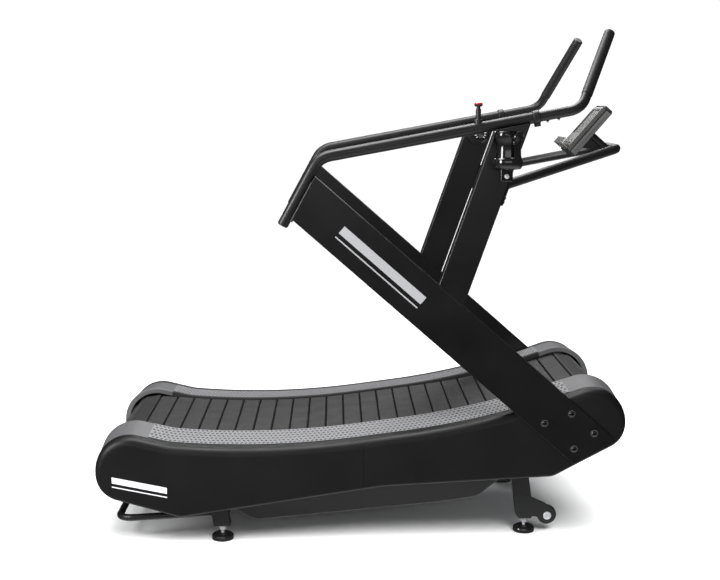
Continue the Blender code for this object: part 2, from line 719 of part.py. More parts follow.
def build_arms():
    for name, side in SIDES:
        low, high = sorted((side * ARM_IN, side * ARM_OUT))
        arm = curve_to_mesh(plate("diagonal_arm_" + name, [arm_outline(0.0, 0.0)], low, high))
        bore = curve_to_mesh(plate("arm_bore_" + name, [arm_bore_outline()], low + BOX_WALL, high - BOX_WALL))
        bevel(arm, 0.0035)
        boolean(arm, as_cutter(bore))
        holes = rods("arm_bolt_holes_" + name, bolt_places(), BOLT_R + GAP, (low - 0.01, high + 0.01), 12)
        boolean(arm, as_cutter(holes))
        add_part(arm, "powder_coat")


def arm_bore_outline():
    """The hollow inside the arm, which is open at the lower end."""
    along = Vector((math.cos(ARM_SLOPE), -math.sin(ARM_SLOPE)))
    across = Vector((math.sin(ARM_SLOPE), math.cos(ARM_SLOPE)))
    top = Vector((0.0, ARM_TOP_AT_0)) - across * BOX_WALL
    bottom = Vector((0.0, ARM_TOP_AT_0)) - across * (ARM_DEPTH - BOX_WALL)
    rail = (RAIL_KNEE - RAIL_FOOT).normalized()
    end = RAIL_FOOT + Vector((rail.y, -rail.x)) * (RAIL_R + GAP + BOX_WALL)
    upper, lower = meet(top, along, end, rail), meet(bottom, along, end, rail)
    return [upper, upper + along * 1.6, lower + along * 1.6, lower]


def build_uprights():
    lean = Vector((UPRIGHT_LEAN, 1.0)).normalized()
    arm_along = Vector((math.cos(ARM_SLOPE), -math.sin(ARM_SLOPE)))
    foot = Vector((0.0, ARM_TOP_AT_0 + GAP / math.cos(ARM_SLOPE)))
    rail = Vector((1.0, RAIL_RISE)).normalized()
    head = RAIL_KNEE + Vector((rail.y, -rail.x)) * (RAIL_R + GAP)

    def outline(wall, past):
        rear = UPRIGHT_REAR + Vector((wall / lean.y, 0.0))
        front = UPRIGHT_FRONT - Vector((wall / lean.y, 0.0))
        return [meet(rear, lean, foot, arm_along) - lean * past, meet(rear, lean, head, rail) + lean * past,
                meet(front, lean, head, rail) + lean * past, meet(front, lean, foot, arm_along) - lean * past]

    for name, side in SIDES:
        low, high = sorted((side * ARM_IN, side * ARM_OUT))
        post = curve_to_mesh(plate("upright_" + name, [outline(0.0, 0.0)], low, high))
        bore = curve_to_mesh(plate("upright_bore_" + name, [outline(BOX_WALL, 0.1)],
                                   low + BOX_WALL, high - BOX_WALL))
        bevel(post, 0.0035)
        boolean(post, as_cutter(bore))
        add_part(post, "powder_coat")


def build_handrails():
    for name, side in SIDES:
        y = side * ARM_Y
        corners = [Vector((RAIL_FOOT.x, y, RAIL_FOOT.y)), Vector((RAIL_KNEE.x, y, RAIL_KNEE.y)),
                   Vector((RAIL_END_X, y, rail_height(RAIL_END_X)))]
        add_part(tube("handrail_" + name, bent_path(corners, RAIL_BEND, 7), RAIL_R), "powder_coat")


def build_handles():
    rise = math.atan(RAIL_RISE)
    for name, side in SIDES:
        flip = Vector((1.0, side, 1.0))
        start = Vector((RAIL_END_X + 0.001, side * ARM_Y, rail_height(RAIL_END_X + 0.001)))
        knee, tip = HANDLE_KNEE * flip, HANDLE_TIP * flip
        knee.z = rail_height(knee.x)
        add_part(tube("handle_" + name, bent_path([start, knee, tip], HANDLE_BEND, 7), HANDLE_R),
                 "powder_coat")
        along = (tip - knee).normalized()
        length = (tip - knee).length - GRIP_START
        inner = HANDLE_R + GAP
        grip = turned("grip_" + name, (
            (0.0, length + 0.005), (0.013, length + 0.005), (GRIP_R, length), (GRIP_R, 0.0),
            (inner, 0.0), (inner, length + GAP), (0.0, length + GAP)), 24)
        add_part(grip, "grip", knee + along * GRIP_START)
        grip.rotation_euler = Vector((0.0, 0.0, 1.0)).rotation_difference(along).to_euler()
        collar = turned("collar_" + name, (
            (RAIL_R + GAP, COLLAR_LEN / 2), (0.0220, COLLAR_LEN / 2), (0.0220, -COLLAR_LEN / 2),
            (RAIL_R + GAP, -COLLAR_LEN / 2)), 24, closed=True)
        lug = box("collar_lug_" + name, (0.0195, -0.008, -COLLAR_LEN / 2 + 0.001),
                  (0.0300, 0.008, COLLAR_LEN / 2 - 0.001))
        place = Vector((RAIL_END_X, side * ARM_Y, rail_height(RAIL_END_X)))
        turn = (0.0, math.pi / 2 - rise, 0.0)
        lug.location, lug.rotation_euler = place, turn
        boolean(collar, as_cutter(lug), "UNION")
        add_part(collar, "powder_coat", place, turn)


def build_arm_bolts():
    inner = 0.3960
    outline = [BOLT_MIDDLE + (place - BOLT_MIDDLE) * 1.28 for place in bolt_places()]
    for name, side in SIDES:
        low, high = sorted((side * inner, side * (ARM_IN - 2 * GAP)))
        bars = curve_to_mesh(plate("arm_bolts_" + name, [outline], low, high))
        low, high = sorted((side * (inner + 0.002), side * (ARM_OUT + 0.001)))
        boolean(bars, as_cutter(rods("bolt_shanks_" + name, bolt_places(), BOLT_R, (low, high), 12)), "UNION")
        low, high = sorted((side * (ARM_OUT + GAP), side * (ARM_OUT + BOLT_HEAD)))
        radii = (BOLT_HEAD_R, 0.0060) if side > 0 else (0.0060, BOLT_HEAD_R)
        heads = rods("bolt_heads_" + name, bolt_places(), radii[0], (low, high), 12, radii[1])
        boolean(bars, as_cutter(heads), "UNION")
        add_part(bars, "gloss_black")


# ---------------------------------------------------------------- console
def build_console_frame():
    corners = [Vector((U_START.x, -U_START.y, U_START.z)), Vector((U_TIP.x, -U_TIP.y, U_TIP.z)),
               U_TIP, U_START]
    frame = curve_to_mesh(tube("console_frame", bent_path(corners, U_BEND), U_TUBE_R))
    lean = math.atan(UPRIGHT_LEAN)
    face = Vector((UPRIGHT_FRONT.x, 0.0, UPRIGHT_FRONT.y))
    trim = box("console_frame_trim", (-0.3, -0.6, 0.0), (2 * GAP, 0.6, 0.9))
    trim.location, trim.rotation_euler = face, (0.0, lean, 0.0)
    boolean(frame, as_cutter(trim))
    flange_low = (1.225 - UPRIGHT_FRONT.y) / math.cos(lean)
    for name, side in SIDES:
        low, high = sorted((side * (ARM_IN + 0.002), side * (ARM_OUT - 0.002)))
        flange = box("console_flange_" + name, (2 * GAP, low, flange_low - 0.062),
                     (0.0065, high, flange_low + 0.040))
        flange.location, flange.rotation_euler = face, (0.0, lean, 0.0)
        boolean(frame, as_cutter(flange), "UNION")
    post = rods("console_post", [(0.0, 0.0)], 0.013, (0.0, 1.0), 16)
    post.data.transform(Matrix.Rotation(math.pi / 2, 4, "X"))
    reach = 0.087 - GAP
    post.data.transform(Matrix.Diagonal((1.0, 1.0, reach, 1.0)))
    post.data.transform(Matrix.Translation((0.0, 0.0, -CONSOLE_SIZE.z / 2 - GAP - reach)))
    boolean(frame, as_cutter(post, CONSOLE), "UNION")
    top = -CONSOLE_SIZE.z / 2 - GAP
    web = [(GUSSET_REACH, top), (0.010, top), (0.004, top - GUSSET_DEPTH), (-0.004, top - GUSSET_DEPTH)]
    gusset = curve_to_mesh(plate("console_gusset", [web], -GUSSET_T / 2, GUSSET_T / 2))
    boolean(frame, as_cutter(gusset, CONSOLE), "UNION")
    add_part(frame, "powder_coat")


def build_console():
    size = CONSOLE_SIZE
    half = size / 2
    split = BACK_DEPTH - half.z
    back = box("console_back", -half, (half.x, half.y, split))
    bevel(back, 0.004)
    wall = SHELL_WALL
    room = box("console_back_room", (wall - half.x, wall - half.y, wall - half.z),
               (half.x - wall, half.y - wall, split + 0.01))
    boolean(back, as_cutter(room, CONSOLE))
    add_part(back, "silver", parent=CONSOLE)

    front = box("console_front", (-half.x, -half.y, split + GAP), half)
    bevel(front, 0.004)
    room = box("console_front_room", (wall - half.x, wall - half.y, split - 0.01),
               (half.x - wall, half.y - wall, half.z - 0.003))
    boolean(front, as_cutter(room, CONSOLE))
    window = box("console_window", (WINDOW_AT - WINDOW.x / 2, -WINDOW.y / 2, 0.0),
                 (WINDOW_AT + WINDOW.x / 2, WINDOW.y / 2, 0.03))
    boolean(front, as_cutter(window, CONSOLE))
    shelf = box("console_shelf", (-half.x, 0.004 - half.y, half.z - 0.002),
                (0.004 - half.x, half.y - 0.004, half.z + 0.028))
    boolean(front, as_cutter(shelf, CONSOLE), "UNION")
    lip = box("console_lip", (-half.x - 0.001, 0.006 - half.y, half.z + 0.0245),
              (0.026 - half.x, half.y - 0.006, half.z + 0.0285))
    boolean(front, as_cutter(lip, CONSOLE), "UNION")
    for index, (along, across) in enumerate(KEY_AT):
        low = Vector((along - KEY.x / 2, across - KEY.y / 2, half.z - 0.0065))
        high = Vector((along + KEY.x / 2, across + KEY.y / 2, half.z + 0.001))
        pad = Vector((GAP, GAP, 0.02))
        hole = box("key_hole_" + str(index + 1), low - pad, high + pad)
        boolean(front, as_cutter(hole, CONSOLE))
        middle = (low + high) / 2
        key = box("console_key_" + str(index + 1), low - middle, high - middle)
        bevel(key, 0.001, 1)
        add_part(key, "dark_plastic", middle, parent=CONSOLE)
    add_part(front, "silver", parent=CONSOLE)

    panel = box("display", (WINDOW_AT - WINDOW.x / 2 - 0.004, -WINDOW.y / 2 - 0.004, half.z - 0.008),
                (WINDOW_AT + WINDOW.x / 2 + 0.004, WINDOW.y / 2 + 0.004, half.z - 0.003 - GAP))
    add_part(panel, "screen", parent=CONSOLE)


# ---------------------------------------------------------------- fittings
def build_bottle_cage():
    height = CAGE_TOP
    profile = (
        (0.0405, height), (0.0460, height - 0.002), (CAGE_R, height - 0.011), (0.0470, height - 0.026),
        (0.0405, height - 0.036), (0.0405, height - 0.078), (0.0455, height - 0.088),
        (0.0470, height - 0.106), (0.0400, height - 0.121), (0.0120, height - 0.124),
        (0.0120, height - 0.120), (0.0370, height - 0.116), (0.0370, height - 0.030),
        (0.0375, height - 0.006))
    cage = turned("bottle_cage", profile, 24, closed=True)
    place = (CAGE_AT.x, CAGE_AT.y, 0.0)
    low, high = height - 0.078, height - 0.036
    cuts = (("front", (-0.0035, -0.06, low), (0.0035, -0.02, high)),
            ("sides", (-0.06, -0.006, low), (0.06, 0.024, high)))
    for name, first, second in cuts:
        cutter = box("cage_window_" + name, first, second)
        cutter.location = place
        boolean(cage, as_cutter(cutter))
    wall_y = -ARM_OUT - GAP - CAGE_AT.y
    stem = box("cage_stem", (-0.020, 0.0385, height - 0.165), (0.020, wall_y, height - 0.010))
    stem.location = place
    boolean(cage, as_cutter(stem), "UNION")
    add_part(cage, "gloss_black", place)


def build_dial():
    base_out = 0.014
    face = ARM_IN - GAP
    bore = 0.006 + RUN_CLEAR
    base = turned("dial_base", ((bore, base_out), (0.0410, base_out), (0.0450, base_out - 0.004),
                                (0.0450, 0.0), (bore, 0.0)), closed=True)
    add_part(base, "dark_plastic", (DIAL_AT.x, face, DIAL_AT.y), (math.pi / 2, 0.0, 0.0))
    start = base_out + GAP
    knob = turned("dial_knob", (
        (0.0, 0.0610), (0.0300, 0.0610), (0.0350, 0.0570), (0.0370, start + 0.004), (0.0350, start),
        (0.006, start), (0.006, 0.002), (0.0, 0.002)))
    add_part(knob, "gloss_black", (DIAL_AT.x, face, DIAL_AT.y), (math.pi / 2, 0.0, 0.0))


def build_stop_button():
    place = Vector((POST_X, -ARM_Y, 0.0))
    foot = rail_height(POST_X)
    bore = 0.0066
    post = turned("stop_button_post", (
        (bore, POST_TOP), (0.0085, POST_TOP), (0.0090, POST_TOP - 0.002), (0.0090, foot + 0.026),
        (0.0120, foot + 0.023), (0.0120, foot), (0.0, foot), (0.0, POST_TOP - 0.030),
        (bore, POST_TOP - 0.030)), 24, closed=True)
    rail = tube("stop_button_saddle", [Vector((POST_X - 0.1, -ARM_Y, rail_height(POST_X - 0.1))),
                                       Vector((POST_X + 0.1, -ARM_Y, rail_height(POST_X + 0.1)))],
                RAIL_R + GAP, 8)
    boolean(post, as_cutter(curve_to_mesh(rail)))
    add_part(post, "dark_plastic", place)
    cap_low = POST_TOP + 0.0070
    cap = turned("stop_button_cap", (
        (0.0, CAP_TOP), (0.0070, CAP_TOP), (0.0125, CAP_TOP - 0.003), (0.0140, CAP_TOP - 0.007),
        (0.0130, cap_low), (bore - 0.0002, cap_low), (bore - 0.0002, POST_TOP - 0.020),
        (0.0, POST_TOP - 0.020)), 24)
    add_part(cap, "red", place)


def build_all():
    build_side_plates()
    build_cross_members()
    build_belly_pan()
    build_rear_stand()
    build_front_stand()
    build_feet()
    build_transport_wheels()
    build_lift_handle()
    build_rollers()
    build_bearings()
    build_brake()
    build_belt()
    build_roller_rails()
    build_top_strips()
    build_side_covers()
    build_arms()
    build_uprights()
    build_handrails()
    build_handles()
    build_arm_bolts()
    build_console_frame()
    build_console()
    build_bottle_cage()
    build_dial()
    build_stop_button()


clear_scene()
PARTS = new_collection("curved_treadmill")
CUTTERS = new_collection("cutters")
ROOT = new_empty("treadmill_frame", -ORIGIN)
CONSOLE = new_empty("console_axes", CONSOLE_AT, ROOT, -CONSOLE_TILT)
build_all()
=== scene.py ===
"""Looks of the curved treadmill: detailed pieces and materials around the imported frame.

Sizes are in metres.  Shapes are drawn in the machine's own axes (x forwards, z up, y = 0 on the symmetry
plane, the right-hand side at negative y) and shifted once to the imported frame.
"""
import math

import bmesh
import bpy
from mathutils import Matrix, Vector


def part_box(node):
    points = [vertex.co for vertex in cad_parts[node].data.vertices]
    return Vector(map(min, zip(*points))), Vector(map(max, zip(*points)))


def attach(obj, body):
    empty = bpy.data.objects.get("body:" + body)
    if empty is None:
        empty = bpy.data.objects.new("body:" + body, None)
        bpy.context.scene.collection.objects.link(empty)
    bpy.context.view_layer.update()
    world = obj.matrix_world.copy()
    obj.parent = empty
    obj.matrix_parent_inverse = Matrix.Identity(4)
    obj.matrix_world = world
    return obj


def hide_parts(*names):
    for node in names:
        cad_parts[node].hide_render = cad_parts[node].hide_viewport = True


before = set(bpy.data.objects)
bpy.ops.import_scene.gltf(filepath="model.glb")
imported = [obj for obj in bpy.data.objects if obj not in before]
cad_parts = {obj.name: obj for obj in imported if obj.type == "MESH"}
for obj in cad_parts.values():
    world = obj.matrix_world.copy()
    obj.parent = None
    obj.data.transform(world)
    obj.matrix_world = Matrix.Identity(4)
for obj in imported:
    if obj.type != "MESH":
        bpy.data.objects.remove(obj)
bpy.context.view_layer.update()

# ---------------------------------------------------------------- sizes shared with the CAD
BELT_HALF, TREAD_IN, TREAD_OUT, COVER_HALF = 0.235, 0.2435, 0.396, 0.450
ARM_Y, ARM_HALF = 0.431, 0.025
ARM_IN, ARM_OUT = ARM_Y - ARM_HALF, ARM_Y + ARM_HALF
REAR_AXIS = Vector((-0.780, 0.272))
BELT_R = 0.0995
COVER_CORNERS = (                    # x, z and radius of each corner, from the rear end clockwise
    (-0.899, 0.190, 0.100), (-0.899, 0.4181, 0.114), (-0.655, 0.3583, 0.300), (-0.317, 0.3316, 3.000),
    (0.450, 0.4314, 2.900), (0.901, 0.5939, 0.113), (0.901, 0.3751, 0.096), (0.655, 0.2445, 0.060),
    (0.075, 0.2130, 0.500), (-0.612, 0.1080, 0.050),
)
TOP_CORNERS = 7                      # the first corners, which run over the top
SHOULDER_R, SKIRT_R = 0.030, 0.010
SEAM_X, SEAM_HALF = 0.010, 0.0007
TREAD_X = (-0.724, 0.715)
TREAD_RISE = 0.010
BELT_CORNERS = (
    (-0.880, 0.1882, BELT_R), (-0.880, 0.3800, BELT_R), (-0.317, 0.3376, 3.000), (0.450, 0.4374, 2.900),
    (0.885, 0.5657, BELT_R), (0.885, 0.3530, BELT_R), (-0.280, 0.0850, 0.900),
)
ARM_SLOPE = math.radians(41.3)
ARM_ALONG = Vector((math.cos(ARM_SLOPE), -math.sin(ARM_SLOPE)))
ARM_ACROSS = Vector((math.sin(ARM_SLOPE), math.cos(ARM_SLOPE)))
ARM_TOP_AT_0, ARM_DEPTH = Vector((0.0, 1.1338)), 0.156
UPRIGHT_LEAN = 0.352
UPRIGHT_REAR, UPRIGHT_FRONT = Vector((0.2605, 0.9085)), Vector((0.353, 0.863))
RAIL_R, RAIL_BEND, RAIL_RISE, RAIL_END_X = 0.0185, 0.080, 0.185, 0.5747    # the rise is per metre of x
RAIL_FOOT, RAIL_KNEE = Vector((-0.255, 1.106)), Vector((-0.1362, 1.3238))
HANDLE_R, GRIP_R, GRIP_START, HANDLE_BEND = 0.017, 0.0188, 0.058, 0.070
HANDLE_KNEE, HANDLE_TIP = Vector((0.722, 0.431, 1.483)), Vector((0.842, 0.270, 1.735))
BOLT_MIDDLE = Vector((0.700, 0.412))
BOLT_PLACES = ((-0.074, -0.036), (-0.027, 0.048), (0.077, 0.048), (0.062, -0.036))
REAR_FOOT, FRONT_FOOT = Vector((-0.478, 0.352)), Vector((0.583, 0.291))
LEG_BOTTOM, LEG_T = 0.050, 0.044
WHEEL_AXIS, WHEEL_R, WHEEL_Y = Vector((0.662, 0.061)), 0.034, (0.2850, 0.3060)
WHEEL_PLATE_Y = (0.3075, 0.3135)
CONSOLE_AT, CONSOLE_TILT = Vector((0.8255, 0.0, 1.405)), math.radians(49.0)
CONSOLE_SIZE, BACK_DEPTH = Vector((0.200, 0.150, 0.042)), 0.026
U_TUBE_R, U_BEND = 0.0165, 0.050
U_TIP, U_START = Vector((0.917, 0.106, 1.3420)), Vector((0.460, 0.441, 1.2306))
GUSSET_REACH, GUSSET_DEPTH, GUSSET_T = -0.065, 0.080, 0.006
CAGE_AT, CAGE_TOP = Vector((0.475, -0.5055)), 1.412
DIAL_AT = Vector((0.484, 1.384))
POST_X, POST_TOP, CAP_TOP = 0.385, 1.483, 1.504
LIFT_R, LIFT_REAR, LIFT_FRONT = 0.012, Vector((-0.841, 0.345, 0.072)), Vector((-0.5185, 0.345, 0.090))
SIDES = (("right", -1), ("left", 1))

# ---------------------------------------------------------------- sizes of the looks alone
COVER_WALL, STRAP_T, STRAP_HALF = 0.003, 0.0008, 0.012
ARM_EDGE, PLAY = 0.0045, 0.0006      # rounding of the box tubes; a small gap between two pieces
MARK_SINK, MARK_RISE = 0.0002, 0.0005
COVER_MARK_X, COVER_MARK_DROP = (-0.840, -0.655), 0.038
COVER_MARKS = ((0.2420, 0.0210), (0.2190, 0.0036))     # height at the rear end, thickness
ARM_MARKS = ((0.0, 0.030), (0.031, 0.0045))            # distance below the first bar, width
ARM_MARK_LONG = 0.360
KEYS_Y = (-0.030, 0.030)
KEY_X, KEY_HALF = (-0.0755, -0.0605), 0.0195
RIBS, TICKS, TICK_TURN = 30, 11, 27
SLAT_PITCH, SLAT_T, SLAT_GAP, SLAT_RIBS = 0.064, 0.009, 0.0060, 17

CAMERA_AT = Vector((-0.081, -4.455, 1.497))
CAMERA_DOWN, CAMERA_RIGHT, CAMERA_LENS = math.radians(8.622), math.radians(1.137), 61.20
FLOOR_HALF, FLOOR_Z = 60.0, -0.0004

roller_low, roller_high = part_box("rear_roller")
SHIFT = (Vector(roller_low) + Vector(roller_high)) / 2 - Vector((REAR_AXIS.x, 0.0, REAR_AXIS.y))


# ---------------------------------------------------------------- materials
def show(item):
    """Put an object in the scene."""
    bpy.context.scene.collection.objects.link(item)
    return item


def set_inputs(node, **values):
    """Set a shader node's inputs by name, with _ for a space."""
    for name, value in values.items():
        node.inputs[name.replace("_", " ")].default_value = value


def surface(name, colour, roughness, metallic=0.0, coat=0.0, blotch=5.0, spread=0.12, grain=900.0,
            bump=0.15, uneven=0.06, stretch=(1.0, 1.0, 1.0), shine=0.5):
    """A Principled material with soft colour drift, uneven gloss and a fine surface grain."""
    material = bpy.data.materials.new(name)
    material.use_nodes = True
    nodes, links = material.node_tree.nodes, material.node_tree.links
    shader = nodes["Principled BSDF"]
    set_inputs(shader, Metallic=metallic, Coat_Weight=coat, Coat_Roughness=0.08, Specular_IOR_Level=shine)
    place, mapping = nodes.new("ShaderNodeTexCoord"), nodes.new("ShaderNodeMapping")
    set_inputs(mapping, Scale=stretch)
    links.new(place.outputs["Object"], mapping.inputs["Vector"])
    drift, fine = nodes.new("ShaderNodeTexNoise"), nodes.new("ShaderNodeTexNoise")
    for noise, scale, detail in ((drift, blotch, 5.0), (fine, grain, 2.0)):
        set_inputs(noise, Scale=scale, Detail=detail)
        links.new(mapping.outputs["Vector"], noise.inputs["Vector"])
    tint = nodes.new("ShaderNodeMix")
    tint.data_type = "RGBA"
    set_inputs(tint, A=(*[c * (1.0 - spread) for c in colour], 1.0),
               B=(*[min(c * (1.0 + spread), 1.0) for c in colour], 1.0))
    links.new(drift.outputs["Fac"], tint.inputs["Factor"])
    links.new(tint.outputs["Result"], shader.inputs["Base Color"])
    gloss = nodes.new("ShaderNodeMapRange")
    set_inputs(gloss, From_Min=0.3, From_Max=0.7, To_Min=max(roughness - uneven, 0.02),
               To_Max=min(roughness + uneven, 1.0))
    links.new(drift.outputs["Fac"], gloss.inputs["Value"])
    links.new(gloss.outputs["Result"], shader.inputs["Roughness"])
    relief = nodes.new("ShaderNodeBump")
    set_inputs(relief, Strength=bump, Distance=0.0002)
    links.new(fine.outputs["Fac"], relief.inputs["Height"])
    links.new(relief.outputs["Normal"], shader.inputs["Normal"])
    return material


def grey(value):
    """A neutral colour that leans slightly towards blue."""
    return (value, value, value * 1.03)


POWDER = surface("powder_coat_black", grey(0.0030), 0.32, grain=1400, bump=0.05, spread=0.2)
POWDER_FINE = surface("powder_coat_tube", grey(0.0060), 0.40, grain=1400, bump=0.02, spread=0.2)
COVER = surface("moulded_cover", grey(0.0042), 0.45, grain=2200, bump=0.08, spread=0.15, shine=0.30)
# The pan is lighter than the covers: painted bounce light from the floor under the machine.
PAN_PAINTED_BOUNCE = surface("moulded_pan_painted_bounce", grey(0.0260), 0.50, grain=2200, bump=0.10, spread=0.15, shine=0.4)
# The legs' powder coat is lighter than the frame's: painted bounce light from the floor under the machine.
LEG_PAINTED_BOUNCE = surface("powder_coat_legs_painted_bounce", grey(0.0160), 0.36, grain=1400, bump=0.10, spread=0.2)
CAP = surface("moulded_cap", grey(0.074), 0.48, grain=2000, bump=0.12, spread=0.06)
# The tread's base colour is painted shade: it is dark to stand for the shadow inside the plate's holes.
TREAD_BASE_PAINTED_SHADE = surface("tread_base_painted_shade", grey(0.010), 0.62, grain=1600, bump=0.3, spread=0.2, blotch=40.0)
STUD = surface("tread_plate", grey(0.138), 0.46, grain=1600, bump=0.2, blotch=60.0)
SLAT = surface("slat_rubber", grey(0.0150), 0.58, grain=1500, bump=0.4, spread=0.20, blotch=14.0)
BAND = surface("belt_band", grey(0.004), 0.75, bump=0.5, shine=0.1)
RUBBER = surface("tyre_rubber", grey(0.012), 0.50, grain=1200, bump=0.4)
FOOT = surface("foot_rubber", grey(0.008), 0.16, coat=0.4, grain=700, bump=0.06)
GLOSS = surface("gloss_black", grey(0.006), 0.12, coat=0.6, grain=500, bump=0.03, uneven=0.03)
GRIP = surface("grip_sleeve", grey(0.007), 0.48, grain=1100, bump=0.015, spread=0.15)
# Zinc plating's own light grey, partly painted reflection: the low metallic and bright diffuse colour stand
# in for the studio's bright reflection.
ZINC_AND_PAINTED_SHEEN = surface("zinc_and_painted_sheen", grey(0.62), 0.30, metallic=0.45, bump=0.12, blotch=60.0)
STEEL = surface("machined_steel", grey(0.42), 0.35, metallic=1.0, grain=700, bump=0.2,
                blotch=30.0, stretch=(1.0, 6.0, 1.0))
ALLOY = surface("cast_alloy", grey(0.55), 0.38, metallic=1.0, bump=0.25, blotch=20.0)
BEARINGS = surface("bearing_row", grey(0.035), 0.50, metallic=0.3, bump=0.1, blotch=40.0)
SILVER = surface("console_silver", (0.048, 0.046, 0.045), 0.36, grain=1800, bump=0.12, blotch=12.0,
                 spread=0.08)
SLATE = surface("console_grey", (0.072, 0.072, 0.073), 0.40, grain=1800, blotch=12.0, spread=0.10)
DARK = surface("dark_plastic", grey(0.010), 0.40, grain=1600, bump=0.06)
SCREEN = surface("display_glass", (0.046, 0.047, 0.045), 0.45, grain=300, bump=0.01, uneven=0.02)
LCD = surface("display_marks", (0.036, 0.038, 0.035), 0.5, grain=800, bump=0.05)
RED = surface("button_red", (0.30, 0.008, 0.012), 0.22, coat=0.5, grain=600, bump=0.05)
WHITE = surface("mark_white", grey(0.55), 0.45, bump=0.05, spread=0.04)
MARK = surface("mark_grey", grey(0.27), 0.45, bump=0.05, spread=0.05)
# The beads and washer rims are a lighter grey than the black frame: painted highlight along their ridges.
BEAD_PAINTED_HIGHLIGHT = surface("weld_bead_painted_highlight", grey(0.060), 0.26, metallic=0.2, bump=0.2, spread=0.25, blotch=60.0)
LENS = surface("clear_lip", (0.11, 0.105, 0.10), 0.16, coat=0.4, grain=600, bump=0.03, spread=0.10)


# ---------------------------------------------------------------- shape helpers
def new_object(bm, name="part"):
    """An object with the finished mesh, its faces turned outwards."""
    bmesh.ops.recalc_face_normals(bm, faces=bm.faces)
    mesh = bpy.data.meshes.new(name)
    bm.to_mesh(mesh)
    bm.free()
    return bpy.data.objects.new(name, mesh)


def corner_arcs(corners, step=math.radians(4.0), reach=0.05):
    """The points of each rounded corner of a closed outline, one list for each corner."""
    arcs = []
    for index, (x, z, radius) in enumerate(corners):
        here = Vector((x, z))
        back = (Vector(corners[index - 1][:2]) - here).normalized()
        ahead = (Vector(corners[(index + 1) % len(corners)][:2]) - here).normalized()
        turn = math.pi - back.angle(ahead)
        if radius == 0.0:
            arcs.append([here])
            continue
        centre = here + (back + ahead).normalized() * radius / math.cos(turn / 2)
        start = here + back * radius * math.tan(turn / 2) - centre
        finish = here + ahead * radius * math.tan(turn / 2) - centre
        sense = math.copysign(1.0, start.x * finish.y - start.y * finish.x)
        count = max(math.ceil(turn / step), math.ceil(turn * radius / reach))
        arcs.append([centre + Matrix.Rotation(sense * turn * i / count, 2) @ start
                     for i in range(count + 1)])
    return arcs


def joined(arcs, least=0.0015):
    """The points of all arcs in order, without near doubles."""
    points = []
    for point in (point for arc in arcs for point in arc):
        if not points or (point - points[-1]).length > least:
            points.append(point)
    return points


def rounded(corners):
    """The whole outline through (x, z, radius) corners."""
    return joined(corner_arcs(corners))


def across_at(place, y):
    """The point in space over a flat (x, z) place."""
    return Vector((place.x, y, place.y))


def on_side(place, side):
    """A place in space on the left, or its mirror image on the right for side = -1."""
    return Vector((place.x, side * place.y, place.z))


def right_of(along):
    """A flat direction turned a quarter to the right."""
    return Vector((along.y, -along.x))


def normals_of(points, closed):
    """Unit normals on the left of the direction of travel."""
    normals = []
    last = len(points) - 1
    for index in range(len(points)):
        before = points[index - 1] if index or closed else points[0]
        after = points[(index + 1) % len(points)] if index < last or closed else points[last]
        along = (after - before).normalized()
        normals.append(Vector((-along.y, along.x)))
    return normals


def skin(bm, rings, open_edge=None):
    """Faces between neighbouring rings, leaving out the one strip after open_edge."""
    count = len(rings[0])
    for first, second in zip(rings, rings[1:]):
        for i in range(count):
            j = (i + 1) % count
            if i != open_edge:
                bm.faces.new((first[i], first[j], second[j], second[i]))


def solid(bm, rings):
    """Faces between neighbouring rings and over both ends."""
    skin(bm, rings)
    bm.faces.new(rings[0])
    bm.faces.new(rings[-1])


def section_ring(bm, point, normal, section, side):
    """One ring of a cross-section at a station."""
    return [bm.verts.new(across_at(point + normal * offset, side * across)) for across, offset in section]


def sweep(stations, section, side=1, closed=False):
    """A strip with one cross-section, (distance from the middle, offset), along (point, normal) stations."""
    bm = bmesh.new()
    rings = [section_ring(bm, point, normal, section, side) for point, normal in stations]
    if closed:
        rings.append(rings[0])
    else:
        bm.faces.new(rings[0])
        bm.faces.new(rings[-1])
    skin(bm, rings)
    return new_object(bm)


def prism(outline, y_low, y_high, edge=0.0, segments=3):
    """A flat outline in (x, z), made solid across Y, with rounded edges."""
    y_low, y_high = sorted((y_low, y_high))
    bm = bmesh.new()
    rings = [[bm.verts.new((point[0], y, point[1])) for point in outline] for y in (y_low, y_high)]
    solid(bm, rings)
    return softened(new_object(bm), edge, segments)


def block(low, high, edge=0.0, segments=3):
    """A box between two corners, with rounded edges."""
    bm = bmesh.new()
    bmesh.ops.create_cube(bm, size=1.0)
    bmesh.ops.scale(bm, vec=Vector(high) - Vector(low), verts=bm.verts)
    bmesh.ops.translate(bm, vec=(Vector(low) + Vector(high)) / 2, verts=bm.verts)
    return softened(new_object(bm), edge, segments)


def softened(item, edge, segments=3):
    """Round an object's sharp edges."""
    if edge:
        bevel = item.modifiers.new("bevel", "BEVEL")
        bevel.width = edge
        bevel.segments = segments
        bevel.limit_method = "ANGLE"
        bevel.angle_limit = math.radians(35)
        bevel.use_clamp_overlap = True
    return item


def mirrored_profile(*upper, middle=0.0):
    """A lathe profile that is the same above and below a middle height."""
    return [(r, middle + h) for r, h in upper] + [(r, middle - h) for r, h in upper[::-1]]


def lathe(profile, steps=48, closed=False):
    """A shape turned about Z from (radius, height) points."""
    bm = bmesh.new()
    rings = []
    for radius, height in profile:
        if radius < 1e-6:
            rings.append([bm.verts.new((0.0, 0.0, height))])
        else:
            rings.append([bm.verts.new((radius * math.cos(2 * math.pi * i / steps),
                                        radius * math.sin(2 * math.pi * i / steps), height))
                          for i in range(steps)])
    if closed:
        rings.append(rings[0])
    for first, second in zip(rings, rings[1:]):
        for i in range(steps):
            j = (i + 1) % steps
            loop = list(dict.fromkeys((first[i % len(first)], first[j % len(first)],
                                       second[j % len(second)], second[i % len(second)])))
            if len(loop) > 2:
                bm.faces.new(loop)
    return new_object(bm)


